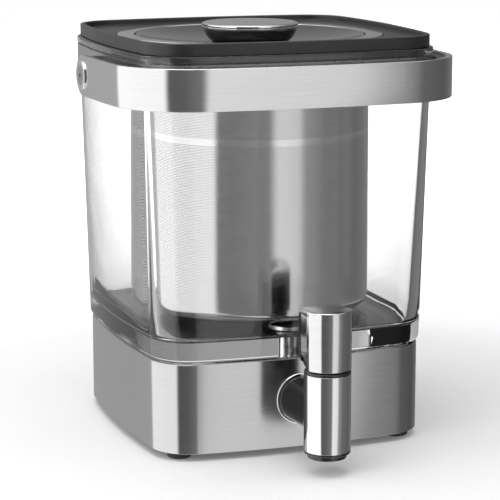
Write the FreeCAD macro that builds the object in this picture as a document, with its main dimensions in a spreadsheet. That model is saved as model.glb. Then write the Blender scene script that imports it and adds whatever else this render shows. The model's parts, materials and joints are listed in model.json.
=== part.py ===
import FreeCAD, Part
import math
import os
import re
import Sketcher

Vector = FreeCAD.Vector

# Driving dimensions in millimetres and degrees. The ground is z = 0, the tap faces -Y.
SIZES = {
    # plan of the base, the jar and the lid: a square with bowed sides
    "side_bow": 535.0,
    "base_half": 87.3,
    "base_corner": 24.8,
    "foot_height": 4.5,
    "base_height": 53.5,
    "shell_wall": 1.0,
    "shell_flange": 7.0,
    "edge_round": 1.2,
    "fit_gap": 0.3,
    # glass jar
    "glass_bottom_half": 88.4,
    "glass_top_half": 92.7,
    "glass_corner": 26.0,
    "glass_height": 177.1,
    "glass_floor": 11.2,
    "wall_bottom": 6.4,
    "wall_top": 3.0,
    "bead_height": 4.5,
    "bead_out": 1.2,
    "glass_foot_round": 3.5,
    "glass_well_round": 4.0,
    # neck band and bail handle
    "band_wall": 0.8,
    "band_height": 24.4,
    "strap_half": 105.7,
    "strap_bow": 737.0,
    "strap_corner": 46.6,
    "strap_wall": 3.5,
    "strap_end": 12.0,
    "pivot_drop": 17.55,
    "grip_wall": 5.6,
    "grip_height": 21.0,
    "grip_start": 39.0,
    "boss_rad": 9.2,
    "boss_proud": 1.0,
    "screw_head_rad": 5.7,
    "screw_head_depth": 3.5,
    "pivot_shaft_rad": 3.0,
    "socket_flats": 4.0,
    "socket_depth": 2.0,
    "spacer_rad": 11.0,
    "stop_pin_rad": 1.5,
    "stop_pin_orbit": 7.4,
    "stop_pin_reach": 2.6,
    "handle_swing": 90.0,
    # lid frame
    "lid_half": 92.1,
    "lid_corner": 27.35,
    "lid_height": 6.9,
    "lid_rim": 3.0,
    "lid_rim_depth": 3.3,
    "flange_recess": 1.1,
    "skirt_gap": 1.2,
    "skirt_wall": 2.4,
    "skirt_depth": 7.0,
    "gasket_height": 2.0,
    "gasket_bite": 0.9,
    "gasket_gap": 0.5,
    "lid_round": 0.8,
    # steeper
    "basket_rad": 71.5,
    "basket_wall": 0.8,
    "basket_clear": 4.0,
    "basket_round": 8.0,
    "mouth_gap": 0.7,
    "flange_rad": 80.3,
    "flange_wall": 1.2,
    "collar_wall": 0.7,
    "collar_depth": 5.0,
    "ledge_width": 2.6,
    "ledge_wall": 0.8,
    # steeper lid and knob
    "disc_gap": 0.65,
    "disc_edge": 4.9,
    "dish_depth": 5.4,
    "dish_floor_rad": 24.0,
    "dish_bow": 240.0,
    "disc_wall": 2.0,
    "disc_foot": 3.6,
    "hub_rad": 7.0,
    "hub_depth": 5.0,
    "seal_height": 2.0,
    "seal_bite": 1.0,
    "knob_base_rad": 23.3,
    "knob_body_rad": 28.3,
    "knob_body_height": 8.4,
    "knob_bulge": 13.0,
    "cap_rad": 29.2,
    "cap_lip": 0.9,
    "cap_band": 2.3,
    "cap_crown": 0.65,
    "knob_screw_rad": 2.0,
    "knob_screw_head": 4.2,
    "knob_screw_head_height": 2.4,
    "knob_screw_bite": 7.0,
    # inside the base
    "tray_wall": 5.0,
    "tray_skirt": 2.4,
    "plateau_proud": 0.6,
    "tray_boss_rad": 5.0,
    "cushion_half": 70.0,
    "cushion_width": 9.0,
    "cushion_height": 1.7,
    "plate_wall": 3.0,
    "foot_rad": 7.2,
    "foot_spread": 69.0,
    "foot_peg_rad": 2.5,
    "foot_barb_rad": 3.4,
    "foot_barb_height": 1.7,
    "base_screw_spread": 53.0,
    "base_screw_rad": 1.6,
    "base_screw_head": 3.3,
    "base_screw_head_height": 1.7,
    "base_screw_bite": 9.0,
    # drain and outlet
    "drain_rad": 7.8,
    "drain_flange_rad": 11.0,
    "drain_flange": 1.9,
    "drain_gasket": 0.9,
    "drain_nut_height": 6.0,
    "drain_nut_flats": 21.0,
    "flow_rad": 4.2,
    "barb_rad": 5.5,
    "barb_length": 4.5,
    "elbow_wall": 2.0,
    "elbow_bend": 10.0,
    "elbow_rise": 5.0,
    "elbow_run": 4.8,
    # tap
    "tap_reach": 128.5,
    "column_rad": 13.4,
    "column_bottom": 12.3,
    "column_top": 60.6,
    "sleeve_wall": 0.9,
    "sleeve_bottom": 13.9,
    "sleeve_top": 58.8,
    "sleeve_back": 0.8,
    "arm_height": 33.5,
    "arm_root_rad": 14.0,
    "arm_tip_rad": 12.2,
    "arm_blend": 5.0,
    "washer_rad": 15.4,
    "washer_wall": 1.5,
    "shank_rad": 8.5,
    "shank_length": 10.3,
    "tap_nut_flats": 24.0,
    "tap_nut_height": 5.6,
    "spout_rad": 11.2,
    "spout_drop": 2.7,
    "spout_bore_rad": 6.6,
    "spout_plug_rad": 8.6,
    "spout_plug": 4.6,
    "seat_bore_rad": 4.6,
    "seat_height": 7.5,
    "chamber_rad": 7.5,
    "bonnet_rad": 10.5,
    "bonnet_flange": 0.6,
    "bonnet_plug": 10.6,
    "lug_width": 5.0,
    "lug_rad": 2.7,
    # valve and lever
    "stem_rad": 2.5,
    "running_gap": 0.05,
    "eye_width": 4.8,
    "eye_front": 3.6,
    "eye_back": 3.0,
    "eye_height": 3.4,
    "seal_rad": 6.5,
    "seal_thick": 4.0,
    "spring_rad": 5.2,
    "spring_wire": 1.1,
    "spring_turns": 5.0,
    "hinge_rise": 4.8,
    "hinge_back": 6.5,
    "cross_pin_rad": 1.2,
    "lever_swing": 25.0,
    "lever_gap": 0.3,
    "lever_rad": 13.4,
    "lever_wall": 0.9,
    "lever_side": 7.0,
    "lever_back": 13.2,
    "lever_corner": 2.6,
    "seam_gap": 0.3,
    "lever_top": 97.3,
    "lever_dome": 45.0,
    "lever_core_top": 92.4,
    "heel_front": 3.5,
    "heel_rise": 9.0,
    "heel_bow": 22.0,
}

# Places worked out from the driving dimensions.
PLACES = {
    "base_top": "foot_height + base_height",
    "glass_foot": "base_top + fit_gap",
    "glass_top": "glass_foot + glass_height",
    "bead_foot": "glass_top - bead_height",
    "well_floor": "glass_foot + glass_floor",
    "well_bottom_half": "glass_bottom_half - wall_bottom",
    "well_top_half": "glass_top_half - wall_top",
    "band_top": "bead_foot - fit_gap",
    "band_inner": "glass_top_half + fit_gap",
    "band_outer": "band_inner + band_wall",
    "pivot_z": "glass_top - pivot_drop",
    "strap_inner": "strap_half - strap_wall",
    "spacer_face": "strap_inner - fit_gap",
    "lid_foot": "glass_top + fit_gap",
    "lid_top": "lid_foot + lid_height",
    "shelf_z": "lid_top - lid_rim_depth",
    "flange_seat": "shelf_z - flange_recess",
    "flange_foot": "flange_seat + fit_gap",
    "flange_top": "flange_foot + flange_wall",
    "mouth_rad": "basket_rad + mouth_gap",
    "basket_floor": "well_floor + basket_clear",
    "basket_inner": "basket_rad - basket_wall",
    "collar_outer": "basket_inner - 0.05",
    "collar_inner": "collar_outer - collar_wall",
    "ledge_top": "flange_foot - collar_depth + ledge_wall",
    "disc_rad": "collar_inner - disc_gap",
    "disc_foot_z": "ledge_top + fit_gap",
    "disc_top": "disc_foot_z + disc_edge",
    "dish_floor": "disc_top - dish_depth",
    "disc_under": "dish_floor - disc_wall",
    "hub_foot": "disc_under - hub_depth",
    "knob_top": "dish_floor + knob_body_height",
    "skirt_half": "well_top_half - skirt_gap",
    "skirt_corner": "glass_corner - wall_top - skirt_gap",
    "skirt_foot": "lid_foot - skirt_depth",
    "gasket_foot": "skirt_foot + gasket_height",
    "tray_half": "base_half - shell_wall - fit_gap",
    "tray_corner": "base_corner - shell_wall - fit_gap",
    "tray_top": "base_top - shell_wall - fit_gap",
    "plateau_half": "base_half - shell_flange - fit_gap",
    "plateau_corner": "base_corner - shell_flange - fit_gap",
    "plateau_top": "glass_foot - plateau_proud",
    "cushion_foot": "glass_foot - cushion_height",
    "plate_foot": "foot_height + fit_gap",
    "plate_top": "plate_foot + plate_wall",
    "skirt_inner": "tray_half - tray_skirt",
    "shank_tip": "base_half - shank_length",
    "elbow_mouth": "shank_tip - 0.1",
    "drain_y": "shank_tip - elbow_run - elbow_bend",
    "elbow_top": "arm_height + elbow_bend + elbow_rise",
    "drain_seat": "well_floor + drain_gasket",
    "drain_nut_top": "glass_foot - drain_gasket",
    "drain_hole_rad": "drain_rad + fit_gap",
    "tray_drain_rad": "drain_nut_flats / 2 / cos(30) + 1.5",
    "tap_face": "tap_reach - base_half",
    "bonnet_top": "column_top + bonnet_flange",
    "lever_foot": "bonnet_top + lever_gap",
    "hinge_z": "bonnet_top + hinge_rise",
    "spout_foot": "column_bottom - spout_drop",
    "spout_top": "column_bottom + spout_plug",
    "seat_z": "spout_top + seat_height",
    "seal_foot": "seat_z + fit_gap",
    "bonnet_foot": "column_top - bonnet_plug",
    "lever_core_rad": "lever_rad - lever_wall",
    "cap_seat": "knob_top",
}

doc = FreeCAD.newDocument("cold_brew_maker")
sheet = doc.addObject("Spreadsheet::Sheet", "Sizes")
for row, (alias, number) in enumerate(SIZES.items(), start=1):
    sheet.set(f"A{row}", alias)
    sheet.set(f"B{row}", str(number))
    sheet.setAlias(f"B{row}", alias)
doc.recompute()


def bound(text):
    """Write a size or a place out as an expression on the sheet's cells."""
    def swap(word):
        name = word.group(0)
        if name in PLACES:
            return f"({bound(PLACES[name])})"
        if name in SIZES:
            return f"Sizes.{name}"
        return name
    return re.sub(r"[a-z_]{3,}", swap, str(text))


def value(text):
    """The number that a size or a place comes to."""
    return float(sheet.evalExpression(bound(text)))


def drive(thing, prop, text):
    """Tie one property of an object to the sheet."""
    thing.setExpression(prop, bound(text))


# Sketches and features


def new_body(label):
    body = doc.addObject("PartDesign::Body", label)
    body.Label = label
    return body


def new_sketch(body, role, offset="0"):
    """A sketch on one of the body's own planes, moved along the plane's normal."""
    plane = next(face for face in body.Origin.OriginFeatures if face.Role == role)
    sketch = body.newObject("Sketcher::SketchObject", f"{body.Name}_{role[:2]}")
    sketch.AttachmentSupport = [(plane, "")]
    sketch.MapMode = "FlatFace"
    drive(sketch, "AttachmentOffset.Base.z", offset)
    return sketch


def dimension(sketch, kind, references, text):
    """Add one dimension that follows the sheet."""
    number = sketch.addConstraint(Sketcher.Constraint(kind, *references, value(text)))
    drive(sketch, f"Constraints[{number}]", text)


def place_centre(sketch, item, x_text, y_text):
    dimension(sketch, "DistanceX", (-1, 1, item, 3), x_text)
    dimension(sketch, "DistanceY", (-1, 1, item, 3), y_text)


def circle(sketch, radius, x_text="0", y_text="0"):
    centre = Vector(value(x_text), value(y_text), 0)
    item = sketch.addGeometry(Part.Circle(centre, Vector(0, 0, 1), value(radius)))
    place_centre(sketch, item, x_text, y_text)
    dimension(sketch, "Radius", (item,), radius)


def arc_between(start, end, radius, turn):
    """The short arc from start to end that turns left or right."""
    chord = end - start
    half = chord.Length / 2
    side = 1 if turn == "left" else -1
    normal = Vector(-chord.y, chord.x, 0).normalize() * side
    rise = math.sqrt(max(radius * radius - half * half, 0))
    centre = (start + end) * 0.5 + normal * rise
    first, last = (start, end) if turn == "left" else (end, start)
    angles = [math.atan2(p.y - centre.y, p.x - centre.x) for p in (first, last)]
    ring = Part.Circle(centre, Vector(0, 0, 1), radius)
    return Part.ArcOfCircle(ring, angles[0], angles[1])


def outline(sketch, points, closed=True):
    """Lines and arcs through (x, y) points; (x, y, radius, turn) ends an arc."""
    places = [Vector(value(p[0]), value(p[1]), 0) for p in points]
    ends = []
    first = 0 if closed else 1
    for number in range(first, len(points)):
        start, end, point = places[number - 1], places[number], points[number]
        if len(point) == 2:
            ends.append((sketch.addGeometry(Part.LineSegment(start, end)), 1, 2))
            continue
        item = sketch.addGeometry(arc_between(start, end, value(point[2]), point[3]))
        dimension(sketch, "Radius", (item,), point[2])
        ends.append((item, 1, 2) if point[3] == "left" else (item, 2, 1))
    for (before, _, tail), (after, head, _) in zip(ends, ends[1:]):
        sketch.addConstraint(Sketcher.Constraint("Coincident", before, tail, after, head))
    if closed:
        sketch.addConstraint(Sketcher.Constraint(
            "Coincident", ends[-1][0], ends[-1][2], ends[0][0], ends[0][1]))
    else:
        ends.insert(0, (ends[0][0], 0, ends[0][1]))
    for (item, _, tail), point in zip(ends, points):
        dimension(sketch, "DistanceX", (-1, 1, item, tail), point[0])
        dimension(sketch, "DistanceY", (-1, 1, item, tail), point[1])


def rounded_plan(sketch, half, corner, bow="side_bow"):
    """Four bowed sides joined by tangent corner arcs, centred on the origin."""
    middle = value(half) - value(bow)
    reach = value(bow) - value(corner)
    corner_centre = (middle + math.sqrt(2 * reach * reach - middle * middle)) / 2
    swing = math.atan2(corner_centre, corner_centre - middle)
    items = []
    for quarter in range(4):
        turn = quarter * math.pi / 2
        side_at = Vector(middle * math.cos(turn), middle * math.sin(turn), 0)
        ring = Part.Circle(side_at, Vector(0, 0, 1), value(bow))
        items.append(sketch.addGeometry(Part.ArcOfCircle(ring, turn - swing, turn + swing)))
        along = turn + math.pi / 4
        span = corner_centre * math.sqrt(2)
        corner_at = Vector(span * math.cos(along), span * math.sin(along), 0)
        ring = Part.Circle(corner_at, Vector(0, 0, 1), value(corner))
        end = turn + math.pi / 2 - swing
        items.append(sketch.addGeometry(Part.ArcOfCircle(ring, turn + swing, end)))
    for item, after in zip(items, items[1:] + items[:1]):
        sketch.addConstraint(Sketcher.Constraint("Tangent", item, 2, after, 1))
    offsets = (f"({half}) - ({bow})", "0"), ("0", f"({half}) - ({bow})")
    for quarter in range(4):
        x_text, y_text = offsets[quarter % 2]
        if quarter > 1:
            x_text, y_text = f"-({x_text})", f"-({y_text})"
        place_centre(sketch, items[2 * quarter], x_text, y_text)
        dimension(sketch, "Radius", (items[2 * quarter],), bow)
        dimension(sketch, "Radius", (items[2 * quarter + 1],), corner)


def hexagon(sketch, flats, x_text="0", y_text="0"):
    reach = f"({flats}) / 2 / cos(30)"
    outline(sketch, [
        (f"({x_text}) + {reach} * cos({angle})", f"({y_text}) + {reach} * sin({angle})")
        for angle in range(0, 360, 60)])


def pad(body, sketch, length, backwards=False):
    feature = body.newObject("PartDesign::Pad", f"{body.Name}_pad")
    feature.Profile = sketch
    feature.Reversed = backwards
    drive(feature, "Length", length)
    return feature


def pocket(body, sketch, length, backwards=False):
    """Cut to a depth, against the sketch's normal unless backwards."""
    feature = body.newObject("PartDesign::Pocket", f"{body.Name}_cut")
    feature.Profile = sketch
    feature.Reversed = backwards
    drive(feature, "Length", length)
    return feature


def spin(body, sketch, cut=False):
    """Turn a profile about the upright axis of its sketch."""
    kind = "PartDesign::Groove" if cut else "PartDesign::Revolution"
    feature = body.newObject(kind, f"{body.Name}_turn")
    feature.Profile = sketch
    feature.ReferenceAxis = (sketch, ["V_Axis"])
    feature.Angle = 360
    return feature


def turned(label, points):
    """A round piece about the upright axis from its half section."""
    body = new_body(label)
    sketch = new_sketch(body, "XZ_Plane")
    outline(sketch, points)
    spin(body, sketch)
    return body


def loft(body, sections, cut=False):
    kind = "PartDesign::SubtractiveLoft" if cut else "PartDesign::AdditiveLoft"
    feature = body.newObject(kind, f"{body.Name}_loft")
    feature.Profile = sections[0]
    feature.Sections = sections[1:]
    feature.Ruled = True
    return feature


def edges_where(shape, test):
    return [f"Edge{number}" for number, edge in enumerate(shape.Edges, start=1) if test(edge)]


def lies_at(axis, place):
    """A test for edges that lie flat at one place along an axis."""
    def test(edge):
        box = edge.BoundBox
        low, high = getattr(box, f"{axis}Min"), getattr(box, f"{axis}Max")
        return abs(low - place) < 0.01 and abs(high - place) < 0.01
    return test


def round_edges(body, feature, radius, test):
    doc.recompute()
    rounded = body.newObject("PartDesign::Fillet", f"{body.Name}_round")
    rounded.Base = (feature, edges_where(feature.Shape, test))
    drive(rounded, "Radius", radius)
    return rounded


def plan_block(body, half, corner, foot, height, bow="side_bow"):
    sketch = new_sketch(body, "XY_Plane", foot)
    rounded_plan(sketch, half, corner, bow)
    return pad(body, sketch, height)


def plan_cut(body, half, corner, top, depth, bow="side_bow"):
    sketch = new_sketch(body, "XY_Plane", top)
    rounded_plan(sketch, half, corner, bow)
    return pocket(body, sketch, depth)


def round_block(body, radius, foot, height, x_text="0", y_text="0"):
    sketch = new_sketch(body, "XY_Plane", foot)
    circle(sketch, radius, x_text, y_text)
    return pad(body, sketch, height)


def round_cut(body, radius, top, depth, x_text="0", y_text="0"):
    sketch = new_sketch(body, "XY_Plane", top)
    circle(sketch, radius, x_text, y_text)
    return pocket(body, sketch, depth)


CORNERS = [(1, 1), (-1, 1), (-1, -1), (1, -1)]


def round_cuts_at_corners(body, radius, top, depth, spread):
    for x_sign, y_sign in CORNERS:
        round_cut(body, radius, top, depth, f"{x_sign} * {spread}", f"{y_sign} * {spread}")


def grouped(label, pieces):
    group = doc.addObject("Part::Compound", label)
    group.Label = label
    group.Links = pieces
    return group


def mirrored(source, normal):
    twin = doc.addObject("Part::Mirroring", f"{source.Name}_twin")
    twin.Source = source
    twin.Normal = normal
    return twin


def on_both_sides(label, source):
    """The right-hand piece and its mirror image on the left."""
    return grouped(label, [source, mirrored(source, Vector(1, 0, 0))])


def at_four_corners(label, source):
    pair = grouped(f"{label}_pair", [source, mirrored(source, Vector(1, 0, 0))])
    return grouped(label, [pair, mirrored(pair, Vector(0, 1, 0))])


# Glass jar


def tapered_loft(body, low_half, high_half, corner_low, corner_high, foot, top, curl, cut=False):
    """Loft from foot to top whose lowest edge is rounded in steps of thirty degrees."""
    sections = []
    for angle in (0, 30, 60, 90):
        rise = f"({curl}) * (1 - cos({angle}))"
        inset = f"({curl}) * (1 - sin({angle}))"
        taper = f"(({high_half}) - ({low_half})) * {rise} / (({top}) - ({foot}))"
        sketch = new_sketch(body, "XY_Plane", f"{foot} + {rise}")
        rounded_plan(sketch, f"{low_half} + {taper} - {inset}", f"{corner_low} - {inset}")
        sections.append(sketch)
    last = new_sketch(body, "XY_Plane", top)
    rounded_plan(last, high_half, corner_high)
    return loft(body, sections + [last], cut)


def brew_jar():
    """Tapered jar: rounded foot, rim bead, rounded well with a thick floor, drain hole."""
    body = new_body("brew_jar")
    tapered_loft(body, "glass_bottom_half", "glass_top_half", "glass_corner", "glass_corner",
                 "glass_foot", "bead_foot", "glass_foot_round")
    bead = plan_block(body, "glass_top_half + bead_out", "glass_corner + bead_out",
                      "bead_foot", "bead_height")
    reach = value("glass_top_half")
    round_edges(body, bead, "bead_out * 0.8", lambda edge: (
        lies_at("Z", value("glass_top"))(edge)
        or (lies_at("Z", value("bead_foot"))(edge)
            and max(abs(edge.BoundBox.XMax), abs(edge.BoundBox.XMin),
                    abs(edge.BoundBox.YMax), abs(edge.BoundBox.YMin)) > reach + 0.2)))
    tapered_loft(body, "well_bottom_half", "well_top_half", "glass_corner - wall_bottom",
                 "glass_corner - wall_top", "well_floor", "glass_top", "glass_well_round", cut=True)
    round_cut(body, "drain_hole_rad", "well_floor + 1", "glass_floor + 2", "0", "-drain_y")
    return body


# Neck band and bail handle


def neck_band():
    body = new_body("neck_band")
    corner = "glass_corner + fit_gap"
    plan_block(body, "band_outer", f"{corner} + band_wall", "band_top - band_height", "band_height")
    plan_cut(body, "band_inner", corner, "band_top + 1", "band_height + 2")
    holes = new_sketch(body, "YZ_Plane", "band_outer + 5")
    circle(holes, "pivot_shaft_rad", "0", "pivot_z")
    pocket(body, holes, "2 * band_outer + 10")
    return body


def bail_blank(label, half, corner, bow, wall, height):
    """A closed ring of the bail's plan, centred on the pivots in height."""
    body = new_body(label)
    plan_block(body, half, corner, f"pivot_z - ({height}) / 2", height, bow)
    plan_cut(body, f"{half} - {wall}", f"{corner} - {wall}", f"pivot_z + ({height}) / 2 + 1",
             f"({height}) + 2", f"{bow} - {wall}")
    return body


def handle_strap():
    """Bail of flat steel: the ring's back half is cut away to leave ends round the pivots."""
    body = bail_blank("handle_strap", "strap_half", "strap_corner", "strap_bow",
                      "strap_wall", "2 * strap_end")
    side = new_sketch(body, "YZ_Plane", "strap_half + 10")
    high = "pivot_z + strap_end"
    low = "pivot_z - strap_end"
    outline(side, [
        ("0", high), ("strap_end", "pivot_z", "strap_end", "right"),
        ("0", low, "strap_end", "right"), ("0", f"{low} - 2"),
        ("2 * strap_half", f"{low} - 2"), ("2 * strap_half", f"{high} + 2"), ("0", f"{high} + 2")])
    pocket(body, side, "2 * strap_half + 20")
    for sign, backwards in ((1, False), (-1, True)):
        bore = new_sketch(body, "YZ_Plane", f"{sign} * (strap_half + 2)")
        circle(bore, "pivot_shaft_rad + running_gap", "0", "pivot_z")
        pocket(body, bore, "strap_wall + 4", backwards)
        head = new_sketch(body, "YZ_Plane", f"{sign} * (strap_half + 2)")
        circle(head, "screw_head_rad + running_gap", "0", "pivot_z")
        pocket(body, head, "screw_head_depth - boss_proud + 2", backwards)
        pin = new_sketch(body, "YZ_Plane", f"{sign} * (strap_inner - 2)")
        circle(pin, "stop_pin_rad", "-stop_pin_orbit", "pivot_z")
        pocket(body, pin, "3", not backwards)
    return body


def handle_grip():
    """Plastic liner against the inside of the bail, from one side round the front."""
    body = bail_blank("handle_grip", "strap_inner", "strap_corner - strap_wall",
                      "strap_bow - strap_wall", "grip_wall", "grip_height")
    side = new_sketch(body, "YZ_Plane", "strap_half + 10")
    low, high = "pivot_z - grip_height", "pivot_z + grip_height"
    outline(side, [("-grip_start", low), ("2 * strap_half", low),
                   ("2 * strap_half", high), ("-grip_start", high)])
    cut = pocket(body, side, "2 * strap_half + 20")
    inner = value("strap_inner - grip_wall")
    round_edges(body, cut, "edge_round", lambda edge: (
        edge.BoundBox.ZLength < 0.01 and edge.BoundBox.YMin < -value("grip_start") - 0.5
        and max(edge.BoundBox.XMax, -edge.BoundBox.XMin, -edge.BoundBox.YMin) < inner + 0.1))
    return body


def side_disc(label, radius, low, high):
    """A disc about the pivot axis on the right, between two x places."""
    body = new_body(label)
    sketch = new_sketch(body, "YZ_Plane", low)
    circle(sketch, radius, "0", "pivot_z")
    return body, pad(body, sketch, f"({high}) - ({low})")


def handle_washers():
    body, _ = side_disc("washer_right", "boss_rad", "strap_half", "strap_half + boss_proud")
    hole = new_sketch(body, "YZ_Plane", "strap_half + boss_proud + 1")
    circle(hole, "screw_head_rad + 2 * running_gap", "0", "pivot_z")
    cut = pocket(body, hole, "boss_proud + 3")
    round_edges(body, cut, "boss_proud * 0.4", lambda edge: (
        lies_at("X", value("strap_half + boss_proud"))(edge)
        and edge.BoundBox.ZLength > 2 * value("screw_head_rad") + 1))
    return on_both_sides("handle_washers", body)


def handle_pivot_screws():
    outer = "strap_half + boss_proud"
    body, _ = side_disc("pivot_screw_right", "screw_head_rad", f"{outer} - screw_head_depth", outer)
    shaft = new_sketch(body, "YZ_Plane", "band_inner")
    circle(shaft, "pivot_shaft_rad", "0", "pivot_z")
    pad(body, shaft, f"{outer} - screw_head_depth - band_inner")
    socket = new_sketch(body, "YZ_Plane", outer)
    hexagon(socket, "socket_flats", "0", "pivot_z")
    pocket(body, socket, "socket_depth")
    return on_both_sides("handle_pivot_screws", body)


def handle_spacers():
    """Pivot blocks on the neck band; a quarter groove stops the bail at both ends."""
    body, _ = side_disc("spacer_right", "spacer_rad", "band_outer", "spacer_face")
    bore = new_sketch(body, "YZ_Plane", "spacer_face + 1")
    circle(bore, "pivot_shaft_rad", "0", "pivot_z")
    pocket(body, bore, "spacer_face - band_outer + 3")
    groove = new_sketch(body, "YZ_Plane", "spacer_face")
    width = "(stop_pin_rad + fit_gap)"
    spare = "(fit_gap / stop_pin_orbit * 180 / pi)"
    start = f"(180 + {spare})"
    end = f"(180 - handle_swing - {spare})"
    wide, narrow = f"(stop_pin_orbit + {width})", f"(stop_pin_orbit - {width})"

    def at(reach, angle, past=0):
        across = f"{reach} * cos({angle}) - {past} * {width} * sin({angle})"
        up = f"pivot_z + {reach} * sin({angle}) + {past} * {width} * cos({angle})"
        return across, up
    outline(groove, [
        at(wide, start) + (width, "right"),
        at(wide, end) + (wide, "right"),
        at("stop_pin_orbit", end, -1) + (width, "right"),
        at(narrow, end) + (width, "right"),
        at(narrow, start) + (narrow, "left"),
        at("stop_pin_orbit", start, 1) + (width, "right")])
    pocket(body, groove, "stop_pin_reach + fit_gap")
    return on_both_sides("handle_spacers", body)


def handle_stop_pins():
    body = new_body("stop_pin_right")
    sketch = new_sketch(body, "YZ_Plane", "spacer_face - stop_pin_reach")
    circle(sketch, "stop_pin_rad", "-stop_pin_orbit", "pivot_z")
    pad(body, sketch, "stop_pin_reach + fit_gap + 1")
    return on_both_sides("handle_stop_pins", body)


# Lid, steeper and knob


def jar_lid():
    """Rim, shelf, flange recess and mouth above; skirt with a gasket groove below."""
    body = new_body("jar_lid")
    plan_block(body, "lid_half", "lid_corner", "lid_foot", "lid_height")
    plan_block(body, "skirt_half", "skirt_corner", "skirt_foot", "skirt_depth")
    plan_cut(body, "skirt_half - skirt_wall", "skirt_corner - skirt_wall",
             "lid_foot", "skirt_depth + 1")
    plan_cut(body, "lid_half - lid_rim", "lid_corner - lid_rim", "lid_top + 1", "lid_rim_depth + 1")
    round_block(body, "mouth_rad + skirt_wall", "skirt_foot + 2", "skirt_depth - 2")
    round_cut(body, "flange_rad + fit_gap", "lid_top", "lid_top - flange_seat")
    round_cut(body, "mouth_rad", "lid_top", "lid_height + skirt_depth + 1")
    groove = new_sketch(body, "XY_Plane", "gasket_foot + gasket_height")
    rounded_plan(groove, "skirt_half + 5", "skirt_corner + 5")
    rounded_plan(groove, "skirt_half - gasket_bite", "skirt_corner - gasket_bite")
    cut = pocket(body, groove, "gasket_height")
    reach = value("lid_half - 1")
    round_edges(body, cut, "lid_round", lambda edge: (
        lies_at("Z", value("lid_top"))(edge)
        and (edge.Curve.Radius > 50 and max(abs(edge.CenterOfMass.x), abs(edge.CenterOfMass.y)) > reach
             or abs(edge.Curve.Radius - value("lid_corner")) < 0.1)))
    return body


def lid_gasket():
    body = new_body("lid_gasket")
    plan_block(body, "well_top_half - gasket_gap", "glass_corner - wall_top - gasket_gap",
               "gasket_foot", "gasket_height")
    plan_cut(body, "skirt_half - gasket_bite", "skirt_corner - gasket_bite",
             "gasket_foot + gasket_height + 1", "gasket_height + 2")
    return body


def steeper_basket():
    """Drawn cup with one rounded bottom edge."""
    curl = "basket_round - basket_wall"
    return turned("steeper_basket", [
        ("0", "basket_floor"),
        ("basket_rad - basket_round", "basket_floor"),
        ("basket_rad", "basket_floor + basket_round", "basket_round", "left"),
        ("basket_rad", "flange_foot"),
        ("basket_inner", "flange_foot"),
        ("basket_inner", "basket_floor + basket_round"),
        ("basket_rad - basket_round", "basket_floor + basket_wall", curl, "right"),
        ("0", "basket_floor + basket_wall")])


def steeper_rim():
    """Flange that hangs in the lid, with a collar in the cup and a ledge for the disc."""
    ledge_foot = "ledge_top - ledge_wall"
    return turned("steeper_rim", [
        ("collar_inner - ledge_width", ledge_foot),
        ("collar_outer", ledge_foot),
        ("collar_outer", "flange_foot"),
        ("flange_rad", "flange_foot"),
        ("flange_rad", "flange_top"),
        ("collar_inner", "flange_top"),
        ("collar_inner", "ledge_top"),
        ("collar_inner - ledge_width", "ledge_top")])


def steeper_lid():
    """Dished disc with a foot ring, a seal groove and a hub for the knob's screw."""
    seal_foot = "disc_foot_z + 1.1"
    return turned("steeper_lid", [
        ("knob_screw_rad", "hub_foot"),
        ("hub_rad", "hub_foot"),
        ("hub_rad", "disc_under"),
        ("dish_floor_rad + 2", "disc_under"),
        ("disc_rad - disc_foot", "disc_top - disc_wall - 0.4", "dish_bow", "left"),
        ("disc_rad - disc_foot", "disc_foot_z"),
        ("disc_rad", "disc_foot_z"),
        ("disc_rad", seal_foot),
        ("disc_rad - seal_bite", seal_foot),
        ("disc_rad - seal_bite", f"{seal_foot} + seal_height"),
        ("disc_rad", f"{seal_foot} + seal_height"),
        ("disc_rad", "disc_top - 0.4"),
        ("disc_rad - 0.4", "disc_top", "0.4", "left"),
        ("disc_rad - 1.2", "disc_top"),
        ("dish_floor_rad", "dish_floor", "dish_bow", "right"),
        ("knob_screw_rad", "dish_floor")])


def steeper_lid_seal():
    low = "disc_foot_z + 1.1"
    high = f"{low} + seal_height"
    lip = "collar_inner - fit_gap"
    return turned("steeper_lid_seal", [
        ("disc_rad - seal_bite", low), ("disc_rad", low), (lip, f"{low} + 0.5"),
        (lip, f"{high} - 0.5"), ("disc_rad", high), ("disc_rad - seal_bite", high)])


def lid_knob_body():
    """Bowl that widens to the cap, bored for its screw."""
    depth = "knob_screw_bite - disc_wall"
    return turned("lid_knob_body", [
        ("knob_screw_rad", "dish_floor"),
        ("knob_base_rad - 1.5", "dish_floor"),
        ("knob_base_rad", "dish_floor + 0.6", "2.2", "left"),
        ("knob_body_rad", "knob_top", "knob_bulge", "left"),
        ("0", "knob_top"),
        ("0", f"dish_floor + {depth}"),
        ("knob_screw_rad", f"dish_floor + {depth}")])


def lid_knob_cap():
    """Steel cap: lip, upright band, bevel and a slightly domed face."""
    band_foot = "cap_seat + cap_lip"
    crown = "((cap_rad - 1.6) * (cap_rad - 1.6) + cap_crown * cap_crown) / (2 * cap_crown)"
    return turned("lid_knob_cap", [
        ("0", "cap_seat"),
        ("knob_body_rad", "cap_seat"),
        ("cap_rad", band_foot, "1.6", "left"),
        ("cap_rad", f"{band_foot} + cap_band"),
        ("cap_rad - 1.6", f"{band_foot} + cap_band + 0.75", "2.4", "left"),
        ("0", f"{band_foot} + cap_band + 0.75 + cap_crown", crown, "left")])


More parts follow.
